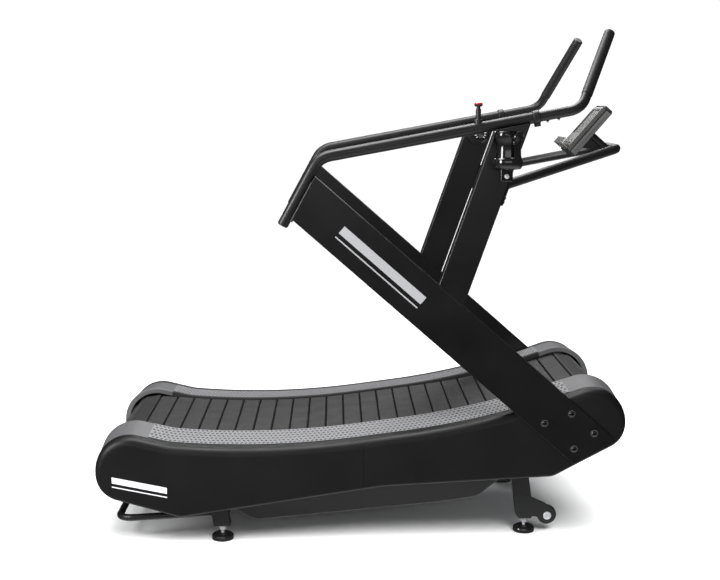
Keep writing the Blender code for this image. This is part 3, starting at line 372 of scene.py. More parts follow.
def bent_path(points, radius, steps=14):
    """A route through corners in space, each turned at the same radius."""
    route = [points[0]]
    for before, here, after in zip(points, points[1:], points[2:]):
        back, ahead = (before - here).normalized(), (after - here).normalized()
        turn = math.pi - back.angle(ahead)
        centre = here + (back + ahead).normalized() * radius / math.cos(turn / 2)
        start = here + back * radius * math.tan(turn / 2) - centre
        axis = back.cross(ahead).normalized()
        for i in range(steps + 1):
            route.append(centre + Matrix.Rotation(-turn * i / steps, 3, axis) @ start)
    route.append(points[-1])
    return route


def tube(route, radius, sides=36, cap=0.003, wobble=None):
    """A round bar along a route, with softly rounded ends; wobble varies its radius along the way."""
    bm = bmesh.new()
    cross = (route[1] - route[0]).normalized().orthogonal().normalized()
    stations = []
    for index, point in enumerate(route):
        ahead = (route[min(index + 1, len(route) - 1)] - route[max(index - 1, 0)]).normalized()
        cross = (cross - ahead * cross.dot(ahead)).normalized()
        size = radius * (wobble(index) if wobble else 1.0)
        stations.append((point, ahead, cross.copy(), size))

    def end_rings(station, sign):
        point, ahead, side, size = station
        return [(point + ahead * sign * cap * out, ahead, side, size * share)
                for share, out in ((0.60, 1.0), (0.88, 0.75), (0.97, 0.3))]

    full = end_rings(stations[0], -1) + stations + end_rings(stations[-1], 1)[::-1]
    rings = []
    for point, ahead, side, size in full:
        other = ahead.cross(side)
        rings.append([bm.verts.new(point + (side * math.cos(2 * math.pi * i / sides)
                                            + other * math.sin(2 * math.pi * i / sides)) * size)
                      for i in range(sides)])
    solid(bm, rings)
    return new_object(bm)


def settled(item):
    """Bake an object's modifiers and place into its mesh, and remove the object."""
    if not item.users_collection:
        show(item)
    bpy.context.view_layer.update()
    shown = item.evaluated_get(bpy.context.evaluated_depsgraph_get())
    mesh = bpy.data.meshes.new_from_object(shown)
    mesh.transform(item.matrix_world)
    bpy.data.objects.remove(item, do_unlink=True)
    return mesh


def cut(item, *cutters):
    """Cut shapes out of an object."""
    show(item)
    for cutter in cutters:
        show(cutter)
        boolean = item.modifiers.new("cut", "BOOLEAN")
        boolean.solver = "EXACT"
        boolean.object = cutter
    mesh = settled(item)
    for cutter in cutters:
        bpy.data.objects.remove(cutter, do_unlink=True)
    return bpy.data.objects.new("part", mesh)


def placed(item, location=(0.0, 0.0, 0.0), turn=None):
    """Set an object's place and turn."""
    item.matrix_world = Matrix.Translation(location) @ (turn.to_4x4() if turn else Matrix.Identity(4))
    return item


def all_placed(parts, location, turn=None):
    """Set the place and turn of every (object, material) part."""
    return [(placed(item, location, turn), material) for item, material in parts]


def along_y(item, place, y, out=1):
    """Turn a shape drawn along +Z so that it points along Y, outwards for out = 1, at a flat place."""
    return placed(item, across_at(place, y), Matrix.Rotation(-out * math.pi / 2, 3, "X"))


def piece(name, parts, nodes, body="frame", crease=48.0):
    """One visible piece from (object, material) parts: it rides on a body and stands for CAD nodes."""
    bm = bmesh.new()
    materials = []
    for item, material in parts:
        mesh = settled(item)
        if material not in materials:
            materials.append(material)
        mesh.polygons.foreach_set("material_index", [materials.index(material)] * len(mesh.polygons))
        bm.from_mesh(mesh)
        bpy.data.meshes.remove(mesh)
    bmesh.ops.translate(bm, vec=SHIFT, verts=bm.verts)
    mesh = bpy.data.meshes.new(name)
    bm.to_mesh(mesh)
    bm.free()
    for material in materials:
        mesh.materials.append(material)
    mesh.shade_smooth()
    mesh.set_sharp_from_angle(angle=math.radians(crease))
    item = show(bpy.data.objects.new(name, mesh))
    normals = item.modifiers.new("weighted_normals", "WEIGHTED_NORMAL")
    normals.keep_sharp = True
    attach(item, body)
    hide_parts(*nodes)


def refined(node, material, body="frame", edge=0.0008):
    """A CAD node's own shape with clean faces, soft edges and smooth shading."""
    bm = bmesh.new()
    bm.from_mesh(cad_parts[node].data)
    bmesh.ops.remove_doubles(bm, verts=bm.verts, dist=1e-6)
    bmesh.ops.dissolve_limit(bm, angle_limit=math.radians(0.5), verts=bm.verts, edges=bm.edges)
    bmesh.ops.translate(bm, vec=-SHIFT, verts=bm.verts)
    shape = softened(new_object(bm), edge, 2)
    piece(node + "_detail", [(shape, material)], [node], body, crease=40.0)


# ---------------------------------------------------------------- covers
def cover_dish(side, inset=0.0, wall=COVER_WALL):
    """A whole side cover: a thin dish whose rim runs over the top, round both ends and underneath."""
    rim, steps = TREAD_OUT + 0.0008, 9
    angles = [math.pi / 2 * i / steps for i in range(steps + 1)]
    points = rounded(COVER_CORNERS)
    bm = bmesh.new()
    rings = []
    for point, normal in zip(points, normals_of(points, True)):
        share = min(max((normal.y + 0.6) / 0.9, 0.0), 1.0)
        radius = SKIRT_R + (SHOULDER_R - SKIRT_R) * share
        inner = radius - wall
        middle = COVER_HALF - inset - radius
        outside = [(middle + radius * math.sin(a), radius * (math.cos(a) - 1.0) - inset) for a in angles]
        inside = [(middle + inner * math.sin(a), inner * math.cos(a) - radius - inset) for a in angles]
        section = [(rim, -inset), *outside, *inside[::-1], (rim, -wall - inset)]
        rings.append(section_ring(bm, point, normal, section, side))
    edge = len(angles)
    skin(bm, rings + rings[:1], open_edge=edge)
    bm.faces.new([ring[edge] for ring in rings])
    bm.faces.new([ring[edge + 1] for ring in rings])
    return new_object(bm)


def meet(point_a, along_a, point_b, along_b):
    """Where two flat lines cross."""
    across = along_a.x * along_b.y - along_a.y * along_b.x
    between = point_b - point_a
    return point_a + along_a * (between.x * along_b.y - between.y * along_b.x) / across


def arm_outline(grow, tuck):
    """The diagonal arm, grown sideways, with its lower end that far inside the cover's edge."""
    top = ARM_TOP_AT_0 + ARM_ACROSS * grow
    bottom = ARM_TOP_AT_0 - ARM_ACROSS * (ARM_DEPTH + grow)
    rail = (RAIL_KNEE - RAIL_FOOT).normalized()
    end = RAIL_FOOT + right_of(rail) * (RAIL_R - 0.001)
    upper, lower = meet(top, ARM_ALONG, end, rail), meet(bottom, ARM_ALONG, end, rail)
    nose, under = Vector(COVER_CORNERS[6][:2]), Vector(COVER_CORNERS[7][:2])
    slope = (under - nose).normalized()
    tucked = nose + right_of(slope) * tuck
    heel, toe = meet(bottom, ARM_ALONG, tucked, slope), meet(top, ARM_ALONG, tucked, slope)
    return rounded([(*upper, 0.002), (*toe, 0.022), (*heel, 0.006), (*lower, 0.002)])


def bolt_places():
    """The (x, z) places of the four bolts of an arm."""
    return [BOLT_MIDDLE + ARM_ALONG * s + ARM_ACROSS * t for s, t in BOLT_PLACES]


def seam_strap(side):
    """A thin strap inside the dish that closes the seam between its two halves."""
    return cut(cover_dish(side, COVER_WALL + 0.0001, STRAP_T),
               block((-1.0, -0.6, 0.0), (SEAM_X - STRAP_HALF, 0.6, 0.8)),
               block((SEAM_X + STRAP_HALF, -0.6, 0.0), (1.0, 0.6, 0.8)))


def cover_marks(side):
    """A plain bar with a thin line under it."""
    face, parts = side * COVER_HALF, []
    for middle, height in COVER_MARKS:
        low, high = Vector((COVER_MARK_X[0], middle)), Vector((COVER_MARK_X[1], middle - COVER_MARK_DROP))
        up = Vector((0.0, height / 2))
        bar = (low - up, high - up, high + up, low + up)
        parts.append((prism(bar, face - side * MARK_SINK, face + side * MARK_RISE), WHITE))
    return parts


def build_covers():
    for name, side in SIDES:
        for end, low, high in (("rear", SEAM_X - SEAM_HALF, 1.0), ("front", -1.0, SEAM_X + SEAM_HALF)):
            cutters = [block((low, -0.6, 0.0), (high, 0.6, 0.8))]
            if end == "front":
                cutters.append(prism(arm_outline(0.0007, 0.0078), side * (ARM_IN - 0.0005),
                                     side * (ARM_OUT + 0.02)))
            parts = [(cut(cover_dish(side), *cutters), COVER)]
            if end == "rear":
                parts += [(seam_strap(side), COVER), *cover_marks(side)]
            cover_name = end + "_" + name
            piece("side_cover_shell_" + cover_name, parts, ["side_cover_" + cover_name], crease=35.0)


def top_stations():
    """The (point, normal) stations over a cover's top."""
    points = joined(corner_arcs(COVER_CORNERS)[:TOP_CORNERS])
    return list(zip(points, normals_of(points, False)))


def stations_between(stations, low, high):
    """The stretch of (point, normal) stations over the top between two x values, cut exactly."""
    peak = [s for s in stations if s[1].y > 0.2]

    def at(x):
        index = next(i for i, (point, _) in enumerate(peak) if point.x > x)
        (first, normal_a), (second, normal_b) = peak[index - 1], peak[index]
        part = (x - first.x) / (second.x - first.x)
        return first.lerp(second, part), normal_a.lerp(normal_b, part).normalized()

    return [at(low)] + [s for s in peak if low < s[0].x < high] + [at(high)]


def spaced(stations, pitch, start=0.0):
    """Points at an even pitch along (point, normal) stations."""
    places, travelled, target = [], 0.0, start
    for (first, normal_a), (second, normal_b) in zip(stations, stations[1:]):
        length = (second - first).length
        while target <= travelled + length:
            part = (target - travelled) / length
            places.append((first.lerp(second, part), normal_a.lerp(normal_b, part).normalized()))
            target += pitch
        travelled += length
    return places


def tread_lattice(stations, side):
    """A plate of staggered slanted holes, standing a little above the tread's base, which is painted dark as
    the shade inside the holes.
    """
    rows, height, border, pitch_wanted, shrink = 6, 0.0016, 0.0045, 0.0152, 0.92
    wide = (TREAD_OUT - TREAD_IN - 2 * border) / rows
    rising = ((-0.42, -0.13), (-0.08, -0.33), (0.42, 0.13), (0.08, 0.33))
    falling = ((-0.42, 0.13), (0.08, -0.33), (0.42, -0.13), (-0.08, 0.33))
    total = sum((b[0] - a[0]).length for a, b in zip(stations, stations[1:]))
    count = round(total / pitch_wanted)
    pitch = (total - 0.0001) / count
    steps = spaced(stations, pitch / 2)
    bm = bmesh.new()

    def spot(station, y, along, lift):
        point, normal = station
        rise = TREAD_RISE * (TREAD_OUT - y) / (TREAD_OUT - TREAD_IN)
        return bm.verts.new(across_at(point + right_of(normal) * along + normal * (rise + lift), side * y))

    for row in range(rows):
        low = TREAD_IN + border + row * wide
        shift = row % 2
        hole = falling if shift else rising
        cells = [(2 * i + shift, 2 * i + 2 + shift) for i in range(count - shift)]
        plain = [(0, 1), (2 * count - 1, 2 * count)] if shift else []
        for first, last in cells + plain:
            corners = ((first, low), (last, low), (last, low + wide), (first, low + wide))
            outer = [spot(steps[index], y, 0.0, height) for index, y in corners]
            if last - first == 1:
                bm.faces.new(outer)
                continue
            middle, y = steps[first + 1], low + wide / 2
            rings = [[spot(middle, y + t * wide * share, s * pitch * share, lift) for s, t in hole]
                     for share, lift in ((1.0, height), (shrink, -0.0004))]
            for i in range(4):
                j = (i + 1) % 4
                bm.faces.new((outer[i], outer[j], rings[0][j], rings[0][i]))
                bm.faces.new((rings[0][i], rings[0][j], rings[1][j], rings[1][i]))
    bmesh.ops.remove_doubles(bm, verts=bm.verts, dist=0.00002)
    return new_object(bm)


def strip_section():
    """The tread plate's cross-section: a sloping top with a rounded inner lip."""
    lip, wall = 0.004, 0.003
    arc = [(TREAD_IN + lip * (1 - math.sin(a)), TREAD_RISE - lip * (1 - math.cos(a)))
           for a in [math.pi / 2 * i / 5 for i in range(6)]]
    return [(TREAD_OUT, 0.0), *arc, (TREAD_IN, -0.008), (TREAD_IN + wall, -0.008),
            (TREAD_IN + wall, TREAD_RISE - lip - wall), (TREAD_OUT, -wall)]


def build_top_strips():
    stations = top_stations()
    rear_x, front_x = TREAD_X
    section = strip_section()
    middle = stations_between(stations, rear_x + 0.0006, front_x - 0.0006)
    start = next(i for i, s in enumerate(stations) if s[0].x >= rear_x and s[1].y > 0.2)
    finish = max(i for i, s in enumerate(stations) if s[0].x <= front_x and s[1].y > 0.2)
    caps = {"rear": stations[:start] + [middle[0]], "front": [middle[-1]] + stations[finish + 1:]}
    for name, side in SIDES:
        parts = [(sweep(middle, section, side), TREAD_BASE_PAINTED_SHADE), (tread_lattice(middle, side), STUD)]
        piece("tread_" + name, parts, ["tread_plate_" + name], crease=30.0)
        for end, path in caps.items():
            cap = sweep(path, section, side)
            piece(end + "_cap_shell_" + name, [(cap, CAP)], [end + "_cap_" + name])


# ---------------------------------------------------------------- belt
def slat_outline(half):
    """A slat's (along, offset) outline: rounded shoulders and fine ribs across the belt."""
    outline = [(-half, -SLAT_T), (-half, -0.0018), (0.0014 - half, -0.0004)]
    wide = (2 * half - 0.0044) / SLAT_RIBS
    for i in range(SLAT_RIBS):
        start = 0.0022 - half + wide * i
        outline += [(start + wide * 0.05, 0.0), (start + wide * 0.62, 0.0), (start + wide * 0.72, -0.0009),
                    (start + wide * 0.95, -0.0009)]
    return outline + [(half - 0.0014, -0.0004), (half, -0.0018), (half, -SLAT_T)]


def build_belt():
    points = rounded(BELT_CORNERS)
    points.append(points[0])
    total = sum((b - a).length for a, b in zip(points, points[1:]))
    count = round(total / SLAT_PITCH)
    pitch = total / count
    normals = normals_of(points[:-1], True)
    stations = list(zip(points, normals + normals[:1]))
    outline, bend = slat_outline((pitch - SLAT_GAP) / 2), 0.0012
    bm = bmesh.new()
    for middle, normal in spaced(stations, pitch, pitch * 0.35)[:count]:
        rings = []
        for y in (-BELT_HALF, 0.002 - BELT_HALF, BELT_HALF - 0.002, BELT_HALF):
            drop = 0.0015 if abs(y) == BELT_HALF else 0.0
            places = [middle + right_of(normal) * s + normal * (t - bend - (drop if t > -0.003 else 0.0))
                      for s, t in outline]
            rings.append([bm.verts.new(across_at(place, y)) for place in places])
        solid(bm, rings)
    inner, outer, edge = -0.0175, -0.0115, BELT_HALF - 0.003
    band = sweep(stations[:-1], ((-edge, outer), (edge, outer), (edge, inner), (-edge, inner)),
                 closed=True)
    piece("slat_belt_slats", [(new_object(bm), SLAT), (band, BAND)], ["slat_belt"],
          crease=25.0)


# ---------------------------------------------------------------- arms and uprights
def rail_height(x):
    """The height of a handrail's middle over its straight part."""
    return RAIL_KNEE.y + RAIL_RISE * (x - RAIL_KNEE.x)


def weld(start, end, y, radius=0.0028):
    """A rippled weld bead between two flat places at that y."""
    start, end = across_at(start, y), across_at(end, y)
    count = max(int((end - start).length / 0.0022), 4)
    route = [start.lerp(end, i / count) for i in range(count + 1)]
    return tube(route, radius, 8, 0.001, wobble=lambda i: 1.0 + 0.16 * math.cos(i * math.pi))


def dome_bolt(radius, height):
    """A button-head bolt with a round recess in its top, pointing along +Z."""
    profile = [(0.0, height * 0.35), (radius * 0.32, height * 0.35), (radius * 0.40, height * 0.98),
               (radius * 0.55, height), (radius * 0.80, height * 0.82), (radius * 0.95, height * 0.5),
               (radius, height * 0.2), (radius, 0.0), (0.0, 0.0)]
    return lathe(profile, 24)


def arm_mark(middle, width, side):
    """A thin plain bar on an arm's face."""
    corners = [middle + ARM_ALONG * s * ARM_MARK_LONG / 2 + ARM_ACROSS * t * width / 2
               for s, t in ((-1, -1), (1, -1), (1, 1), (-1, 1))]
    return prism(corners, side * (ARM_OUT - MARK_SINK), side * (ARM_OUT + MARK_RISE))


def build_arms():
    rail = (RAIL_KNEE - RAIL_FOOT).normalized()
    touch = RAIL_FOOT + right_of(rail) * (RAIL_R + 0.0005)
    middle = ARM_TOP_AT_0 - ARM_ACROSS * ARM_DEPTH * 0.47 + ARM_ALONG * 0.162
    weld_low, weld_high, weld_apart, backing_reach = 0.022, 0.168, 0.016, 1.28
    rim = [(0.0, 0.0012), (0.0118, 0.0012), (0.0124, 0.0008), (0.0124, 0.0), (0.0, 0.0)]
    for name, side in SIDES:
        body = prism(arm_outline(0.0, 0.0085), side * ARM_IN, side * ARM_OUT, ARM_EDGE, 4)
        parts = [(body, POWDER)]
        for y in (ARM_Y - weld_apart, ARM_Y + weld_apart):
            parts.append((weld(touch + rail * weld_low, touch + rail * weld_high, side * y, 0.0045), BEAD_PAINTED_HIGHLIGHT))
        for down, width in ARM_MARKS:
            parts.append((arm_mark(middle - ARM_ACROSS * down, width, side), MARK))
        piece("arm_" + name, parts, ["diagonal_arm_" + name])
        bolts = []
        for place in bolt_places():
            bolts.append((along_y(lathe(rim, 28), place, side * ARM_OUT, side), BEAD_PAINTED_HIGHLIGHT))
            head = dome_bolt(0.0100, 0.0062)
            bolts.append((along_y(head, place, side * (ARM_OUT + 0.0010), side), GLOSS))
        backing = [BOLT_MIDDLE + (place - BOLT_MIDDLE) * backing_reach for place in bolt_places()]
        bolts.append((prism(backing, side * TREAD_OUT, side * (ARM_IN - PLAY), 0.001), STEEL))
        piece("arm_bolt_set_" + name, bolts, ["arm_bolts_" + name])


def build_uprights():
    lean = Vector((UPRIGHT_LEAN, 1.0)).normalized()
    foot = ARM_TOP_AT_0 + Vector((0.0, -0.001))
    slope = Vector((1.0, RAIL_RISE)).normalized()
    head = RAIL_KNEE + right_of(slope) * (RAIL_R - 0.004)
    corners = [meet(UPRIGHT_REAR, lean, foot, ARM_ALONG), meet(UPRIGHT_REAR, lean, head, slope),
               meet(UPRIGHT_FRONT, lean, head, slope), meet(UPRIGHT_FRONT, lean, foot, ARM_ALONG)]
    low_rear, high_rear, high_front, low_front = corners
    drop = Vector((0.0, -0.0045))
    for name, side in SIDES:
        parts = [(prism(corners, side * ARM_IN, side * ARM_OUT, ARM_EDGE, 4), POWDER)]
        for y in (ARM_IN + 0.0015, ARM_OUT - 0.0015):
            near_rail = ARM_Y + (y - ARM_Y) * 0.72
            below_post = weld(low_rear.lerp(low_front, 0.04), low_rear.lerp(low_front, 0.96), side * y)
            above_post = weld(high_rear.lerp(high_front, 0.06) + drop,
                              high_rear.lerp(high_front, 0.95) + drop, side * near_rail, 0.0035)
            parts += [(below_post, POWDER), (above_post, POWDER)]
        piece("upright_post_" + name, parts, ["upright_" + name])


def rail_place(x, y):
    """The middle of a handrail's straight part at that x."""
    return Vector((x, y, rail_height(x)))


def grip_profile(length):
    """A grip sleeve with two pairs of grooves and a domed end."""
    thin, inner = GRIP_R - 0.0006, HANDLE_R + 0.0002
    profile = [(0.0, length + 0.0050), (0.0120, length + 0.0048), (0.0160, length + 0.0036),
               (thin, length + 0.0010)]
    for groove in (length - 0.014, length - 0.020, 0.018, 0.012):
        profile += [(GRIP_R, groove + 0.0010), (thin, groove), (GRIP_R, groove - 0.0010)]
    return profile + [(GRIP_R, 0.003), (GRIP_R - 0.0008, 0.0), (inner, 0.0), (inner, length * 0.99),
                      (0.0, length * 0.99)]


def build_rails():
    clamp = mirrored_profile((0.0186, 0.0105), (0.0206, 0.0112), (0.0222, 0.0100), (0.0228, 0.0070))
    button = [(0.0, 0.0016), (0.0120, 0.0014), (0.0142, 0.0002), (0.0142, -0.003), (0.0, -0.003)]
    pin_end = Vector((0.0255, 0.0115, 0.0))
    for name, side in SIDES:
        y = side * ARM_Y
        foot, bend = across_at(RAIL_FOOT, y), across_at(RAIL_KNEE, y)
        end = rail_place(RAIL_END_X, y)
        rail = tube(bent_path([foot, bend, end], RAIL_BEND, 22), RAIL_R, 40)
        down = (foot - bend).normalized()
        plug = tube([foot - down * 0.004, foot + down * 0.0035], RAIL_R * 0.90, 32, 0.002)
        piece("handrail_tube_" + name, [(rail, POWDER_FINE), (plug, DARK)],
              ["handrail_" + name])

        knee, tip = rail_place(HANDLE_KNEE.x, y), on_side(HANDLE_TIP, side)
        route = bent_path([rail_place(RAIL_END_X + 0.001, y), knee, tip], HANDLE_BEND, 18)
        parts = [(tube(route, HANDLE_R, 36), POWDER_FINE)]
        for x in (0.612, 0.648):
            hung = rail_place(x, y) - Vector((0.0, 0.0, HANDLE_R - 0.001))
            for radius, long, material in ((0.0052, 0.0035, DARK), (0.0030, 0.0075, ZINC_AND_PAINTED_SHEEN)):
                route = [hung, hung - Vector((-RAIL_RISE * long, 0.0, long))]
                parts.append((tube(route, radius, 14, 0.0006), material))
        piece("handle_bar_" + name, parts, ["handle_" + name])

        up, length = (tip - knee).normalized(), (tip - knee).length - GRIP_START
        turn = Vector((0.0, 0.0, 1.0)).rotation_difference(up).to_matrix()
        sleeve = placed(lathe(grip_profile(length), 36), knee + up * GRIP_START, turn)
        cap = placed(lathe(button), knee + up * (GRIP_START + length + 0.0048), turn)
        piece("grip_sleeve_" + name, [(sleeve, GRIP), (cap, SLATE)], ["grip_" + name])

        turn = Matrix.Rotation(math.pi / 2 - math.atan(RAIL_RISE), 3, "Y")
        lug = block((0.0190, -0.0085, -0.0100), (0.0305, 0.0085, 0.0100), 0.0015)
        pin = tube([on_side(pin_end, -1), pin_end], 0.0042, 16, 0.001)
        parts = ((lathe(clamp, 40, closed=True), POWDER_FINE), (lug, POWDER_FINE), (pin, GLOSS))
        piece("collar_clamp_" + name, all_placed(parts, end, turn), ["collar_" + name])


# ---------------------------------------------------------------- stands, feet, wheels
def stand_leg(foot, side, outline):
    """A stand's leg over its foot."""
    middle = side * foot.y
    return prism(outline, middle - LEG_T / 2, middle + LEG_T / 2, 0.0025)


def build_stands():
    leg = ((-0.520, 0.130), (-0.461, 0.130), (-0.449, LEG_BOTTOM), (-0.507, LEG_BOTTOM))
    parts = [(block((-0.515, -REAR_FOOT.y, 0.074), (-0.456, REAR_FOOT.y, 0.112), 0.003), LEG_PAINTED_BOUNCE)]
    parts += [(stand_leg(REAR_FOOT, side, leg), LEG_PAINTED_BOUNCE) for _, side in SIDES]
    piece("rear_stand_frame", parts, ["rear_stand"])

    leg = rounded(((0.529, 0.2615, 0.0), (0.586, 0.2615, 0.0), (0.604, 0.140, 0.03), (0.612, 0.062, 0.008),
                   (0.606, LEG_BOTTOM, 0.0), (0.562, LEG_BOTTOM, 0.0), (0.553, 0.062, 0.01)))
    bracket = rounded(((0.560, 0.145, 0.0), (0.600, 0.132, 0.010), (0.652, 0.109, 0.020),
                       (0.700, 0.070, 0.024), (0.672, 0.028, 0.026), (0.622, 0.058, 0.015),
                       (0.560, 0.060, 0.0)))
    parts = [(block((0.545, -FRONT_FOOT.y, 0.214), (0.595, FRONT_FOOT.y, 0.262), 0.003), LEG_PAINTED_BOUNCE)]
    for _, side in SIDES:
        plate = prism(bracket, side * WHEEL_PLATE_Y[0], side * WHEEL_PLATE_Y[1], 0.0015)
        axle = tube([across_at(WHEEL_AXIS, side * y) for y in (0.282, 0.312)], 0.0059, 20, 0.001)
        head = along_y(dome_bolt(0.0145, 0.0050), WHEEL_AXIS, side * 0.3133, side)
        parts += [(stand_leg(FRONT_FOOT, side, leg), LEG_PAINTED_BOUNCE), (plate, LEG_PAINTED_BOUNCE), (axle, STEEL), (head, ZINC_AND_PAINTED_SHEEN)]
    piece("front_stand_frame", parts, ["front_stand"])


def build_feet():
    pad = [(0.0, 0.0228), (0.0100, 0.0228), (0.0240, 0.0222), (0.0310, 0.0200), (0.0362, 0.0160),
           (0.0378, 0.0118), (0.0372, 0.0088), (0.0376, 0.0074), (0.0374, 0.0020), (0.0362, 0.0), (0.0, 0.0)]
    threads = [(0.0, 0.076), (0.0056, 0.076)]
    for height in [0.075 - i * 0.0026 for i in range(20)]:
        threads += [(0.0060, height), (0.0053, height - 0.0013)]
    threads += [(0.0060, 0.0225), (0.0, 0.0225)]
    nut = mirrored_profile((0.0064, 0.0072), (0.0104, 0.0072), (0.0122, 0.0060), middle=0.0406)
    for end, foot in (("rear", REAR_FOOT), ("front", FRONT_FOOT)):
        for name, side in SIDES:
            place, node = (foot.x, side * foot.y, 0.0), "foot_" + end + "_" + name
            parts = ((lathe(pad), FOOT), (lathe(threads, 20), ZINC_AND_PAINTED_SHEEN), (lathe(nut, 6, closed=True), ZINC_AND_PAINTED_SHEEN))
            piece(node + "_assembly", all_placed(parts, place), [node], node, crease=30.0)


def build_wheels():
    half = (WHEEL_Y[1] - WHEEL_Y[0]) / 2
    tyre = mirrored_profile((0.0230, half - 0.001), (0.0290, half), (0.0325, half - 0.001),
                            (WHEEL_R, half - 0.004))
    hub = mirrored_profile((0.0062, half - 0.0005), (0.0120, half - 0.0005), (0.0125, half - 0.004),
                           (0.0220, half - 0.004), (0.0232, half - 0.001))
    for name, side in SIDES:
        parts = [(along_y(lathe(profile, steps, closed=True), WHEEL_AXIS, side * sum(WHEEL_Y) / 2), material)
                 for profile, steps, material in ((tyre, 56, RUBBER), (hub, 40, DARK))]
        node = "transport_wheel_" + name
        piece("wheel_" + name, parts, [node], node)


def build_lift_handle():
    corners = [on_side(LIFT_FRONT, -1), on_side(LIFT_REAR, -1), LIFT_REAR, LIFT_FRONT]
    bar = tube(bent_path(corners, 0.050, 16), LIFT_R, 28)
    piece("lift_bar", [(bar, POWDER_FINE)], ["lift_handle"])


# ---------------------------------------------------------------- console
def console_parts(*parts):
    """Place (object, material) parts that are drawn in the console's own axes."""
    return all_placed(parts, CONSOLE_AT, Matrix.Rotation(-CONSOLE_TILT, 3, "Y"))


def build_console():
    half, gap = CONSOLE_SIZE / 2, 0.0006
    x, y, z, split = *half, BACK_DEPTH - half.z
    back = block(-half, (x, y, split - gap), 0.006, 4)
    groove = block((0.002 - x, 0.0012 - y, split - 0.003), (x - 0.002, y - 0.0012, split + 0.003))
    ridge = block((0.010 - x, -y - gap, -0.010), (x - 0.016, y + gap, -0.0088), 0.0004, 2)
    top_end = block((x - 0.010, -y - 0.0005, 0.004 - z), (x + 0.0025, y + 0.0005, z - 0.004), 0.003)
    bottom_end = block((-x - 0.0025, 0.004 - y, 0.002 - z), (0.008 - x, y - 0.004, z - 0.008), 0.003)
    parts = console_parts((back, SLATE), (groove, DARK), (ridge, DARK), (top_end, GLOSS), (bottom_end, DARK))
    piece("console_back_shell", parts, ["console_back"])

    slab = rounded(((-x, z, 0.012), (x, z, 0.0150), (x, split + gap, 0.0), (-x, split + gap, 0.0)))
    recesses = [block((-0.030, -0.061, z - 0.0045), (0.080, 0.061, z + 0.01))]
    for across in KEYS_Y:
        recesses.append(block((KEY_X[0] - 0.001, across - KEY_HALF - 0.001, z - 0.006),
                              (KEY_X[1] + 0.001, across + KEY_HALF + 0.001, z + 0.01)))
    front = cut(prism(slab, -y, y, 0.0110, 6), *recesses)
    shelf = block((-x, 0.004 - y, z - 0.002), (0.004 - x, y - 0.004, z + 0.026), 0.001)
    lip = block((-x - 0.001, 0.006 - y, z + 0.0245), (0.026 - x, y - 0.006, z + 0.0285), 0.0012)
    piece("console_front_shell", console_parts((front, SILVER), (shelf, LENS), (lip, LENS)),
          ["console_front"])

    marks = [(block((-0.0298, -0.0608, z - 0.0080), (0.0798, 0.0608, z - 0.0040), 0.0006, 2), SCREEN)]
    narrow = [(row, column, 0.018) for row in (0.034, 0.008, -0.016) for column in (-0.028, 0.028)]
    for row, column, wide in [(0.060, 0.0, 0.030), *narrow]:
        low, high = (row - 0.007, column - wide, z - 0.0041), (row + 0.007, column + wide, z - 0.0037)
        marks.append((block(low, high), LCD))
    piece("display_panel", console_parts(*marks), ["display"])
    for number, across in enumerate(KEYS_Y, 1):
        low, high = across - KEY_HALF, across + KEY_HALF
        key = block((KEY_X[0], low, z - 0.0062), (KEY_X[1], high, z + 0.0010), 0.0018)
        dot = block((-0.0700, across - 0.003, z + 0.0008), (-0.0660, across + 0.003, z + 0.0012))
        piece(f"console_key_cap_{number}", console_parts((key, DARK), (dot, WHITE)),
              [f"console_key_{number}"], f"console_key_{number}")


def build_console_frame():
    bar = tube(bent_path([on_side(U_START, -1), on_side(U_TIP, -1), U_TIP, U_START], U_BEND, 16), U_TUBE_R)
    lean, face = math.atan(UPRIGHT_LEAN), across_at(UPRIGHT_FRONT, 0.0)
    turn = Matrix.Rotation(lean, 3, "Y")
    trim = placed(block((-0.3, -0.6, 0.0), (0.0006, 0.6, 0.9)), face, turn)
    parts = [(cut(bar, trim), POWDER_FINE)]
    middle, flange_out = (1.225 - UPRIGHT_FRONT.y) / math.cos(lean), 0.0062
    for _, side in SIDES:
        low, high = sorted((side * (ARM_IN + 0.003), side * (ARM_OUT - 0.003)))
        flange = block((0.0006, low, middle - 0.060), (flange_out, high, middle + 0.038), 0.0015)
        parts.append((placed(flange, face, turn), POWDER))
        for along in (-0.048, -0.034):
            out = turn @ Vector((flange_out, 0.0, middle + along)) + face + Vector((0.0, side * ARM_Y, 0.0))
            bolt = placed(dome_bolt(0.0062, 0.0048), out, Matrix.Rotation(lean + math.pi / 2, 3, "Y"))
            parts.append((bolt, GLOSS))
    under = -CONSOLE_SIZE.z / 2 - 0.0004
    post = tube([Vector((0.0, 0.0, under)), Vector((0.0, 0.0, under - 0.0856))], 0.0130, 28)
    plate = block((-0.034, -0.030, under - 0.0056), (0.034, 0.030, under), 0.0015)
    tip = -CONSOLE_SIZE.z / 2 - GUSSET_DEPTH
    outline = ((GUSSET_REACH, under), (0.010, under), (0.004, tip), (-0.004, tip))
    web = prism(outline, -GUSSET_T / 2, GUSSET_T / 2, 0.0008, 2)
    parts += console_parts((post, POWDER_FINE), (plate, POWDER), (web, POWDER))
    piece("console_frame_tube", parts, ["console_frame"])


# ---------------------------------------------------------------- fittings on the arms
def below(height, profile):
    """A lathe profile from (radius, depth under that height) points."""
    return [(radius, height - depth) for radius, depth in profile]


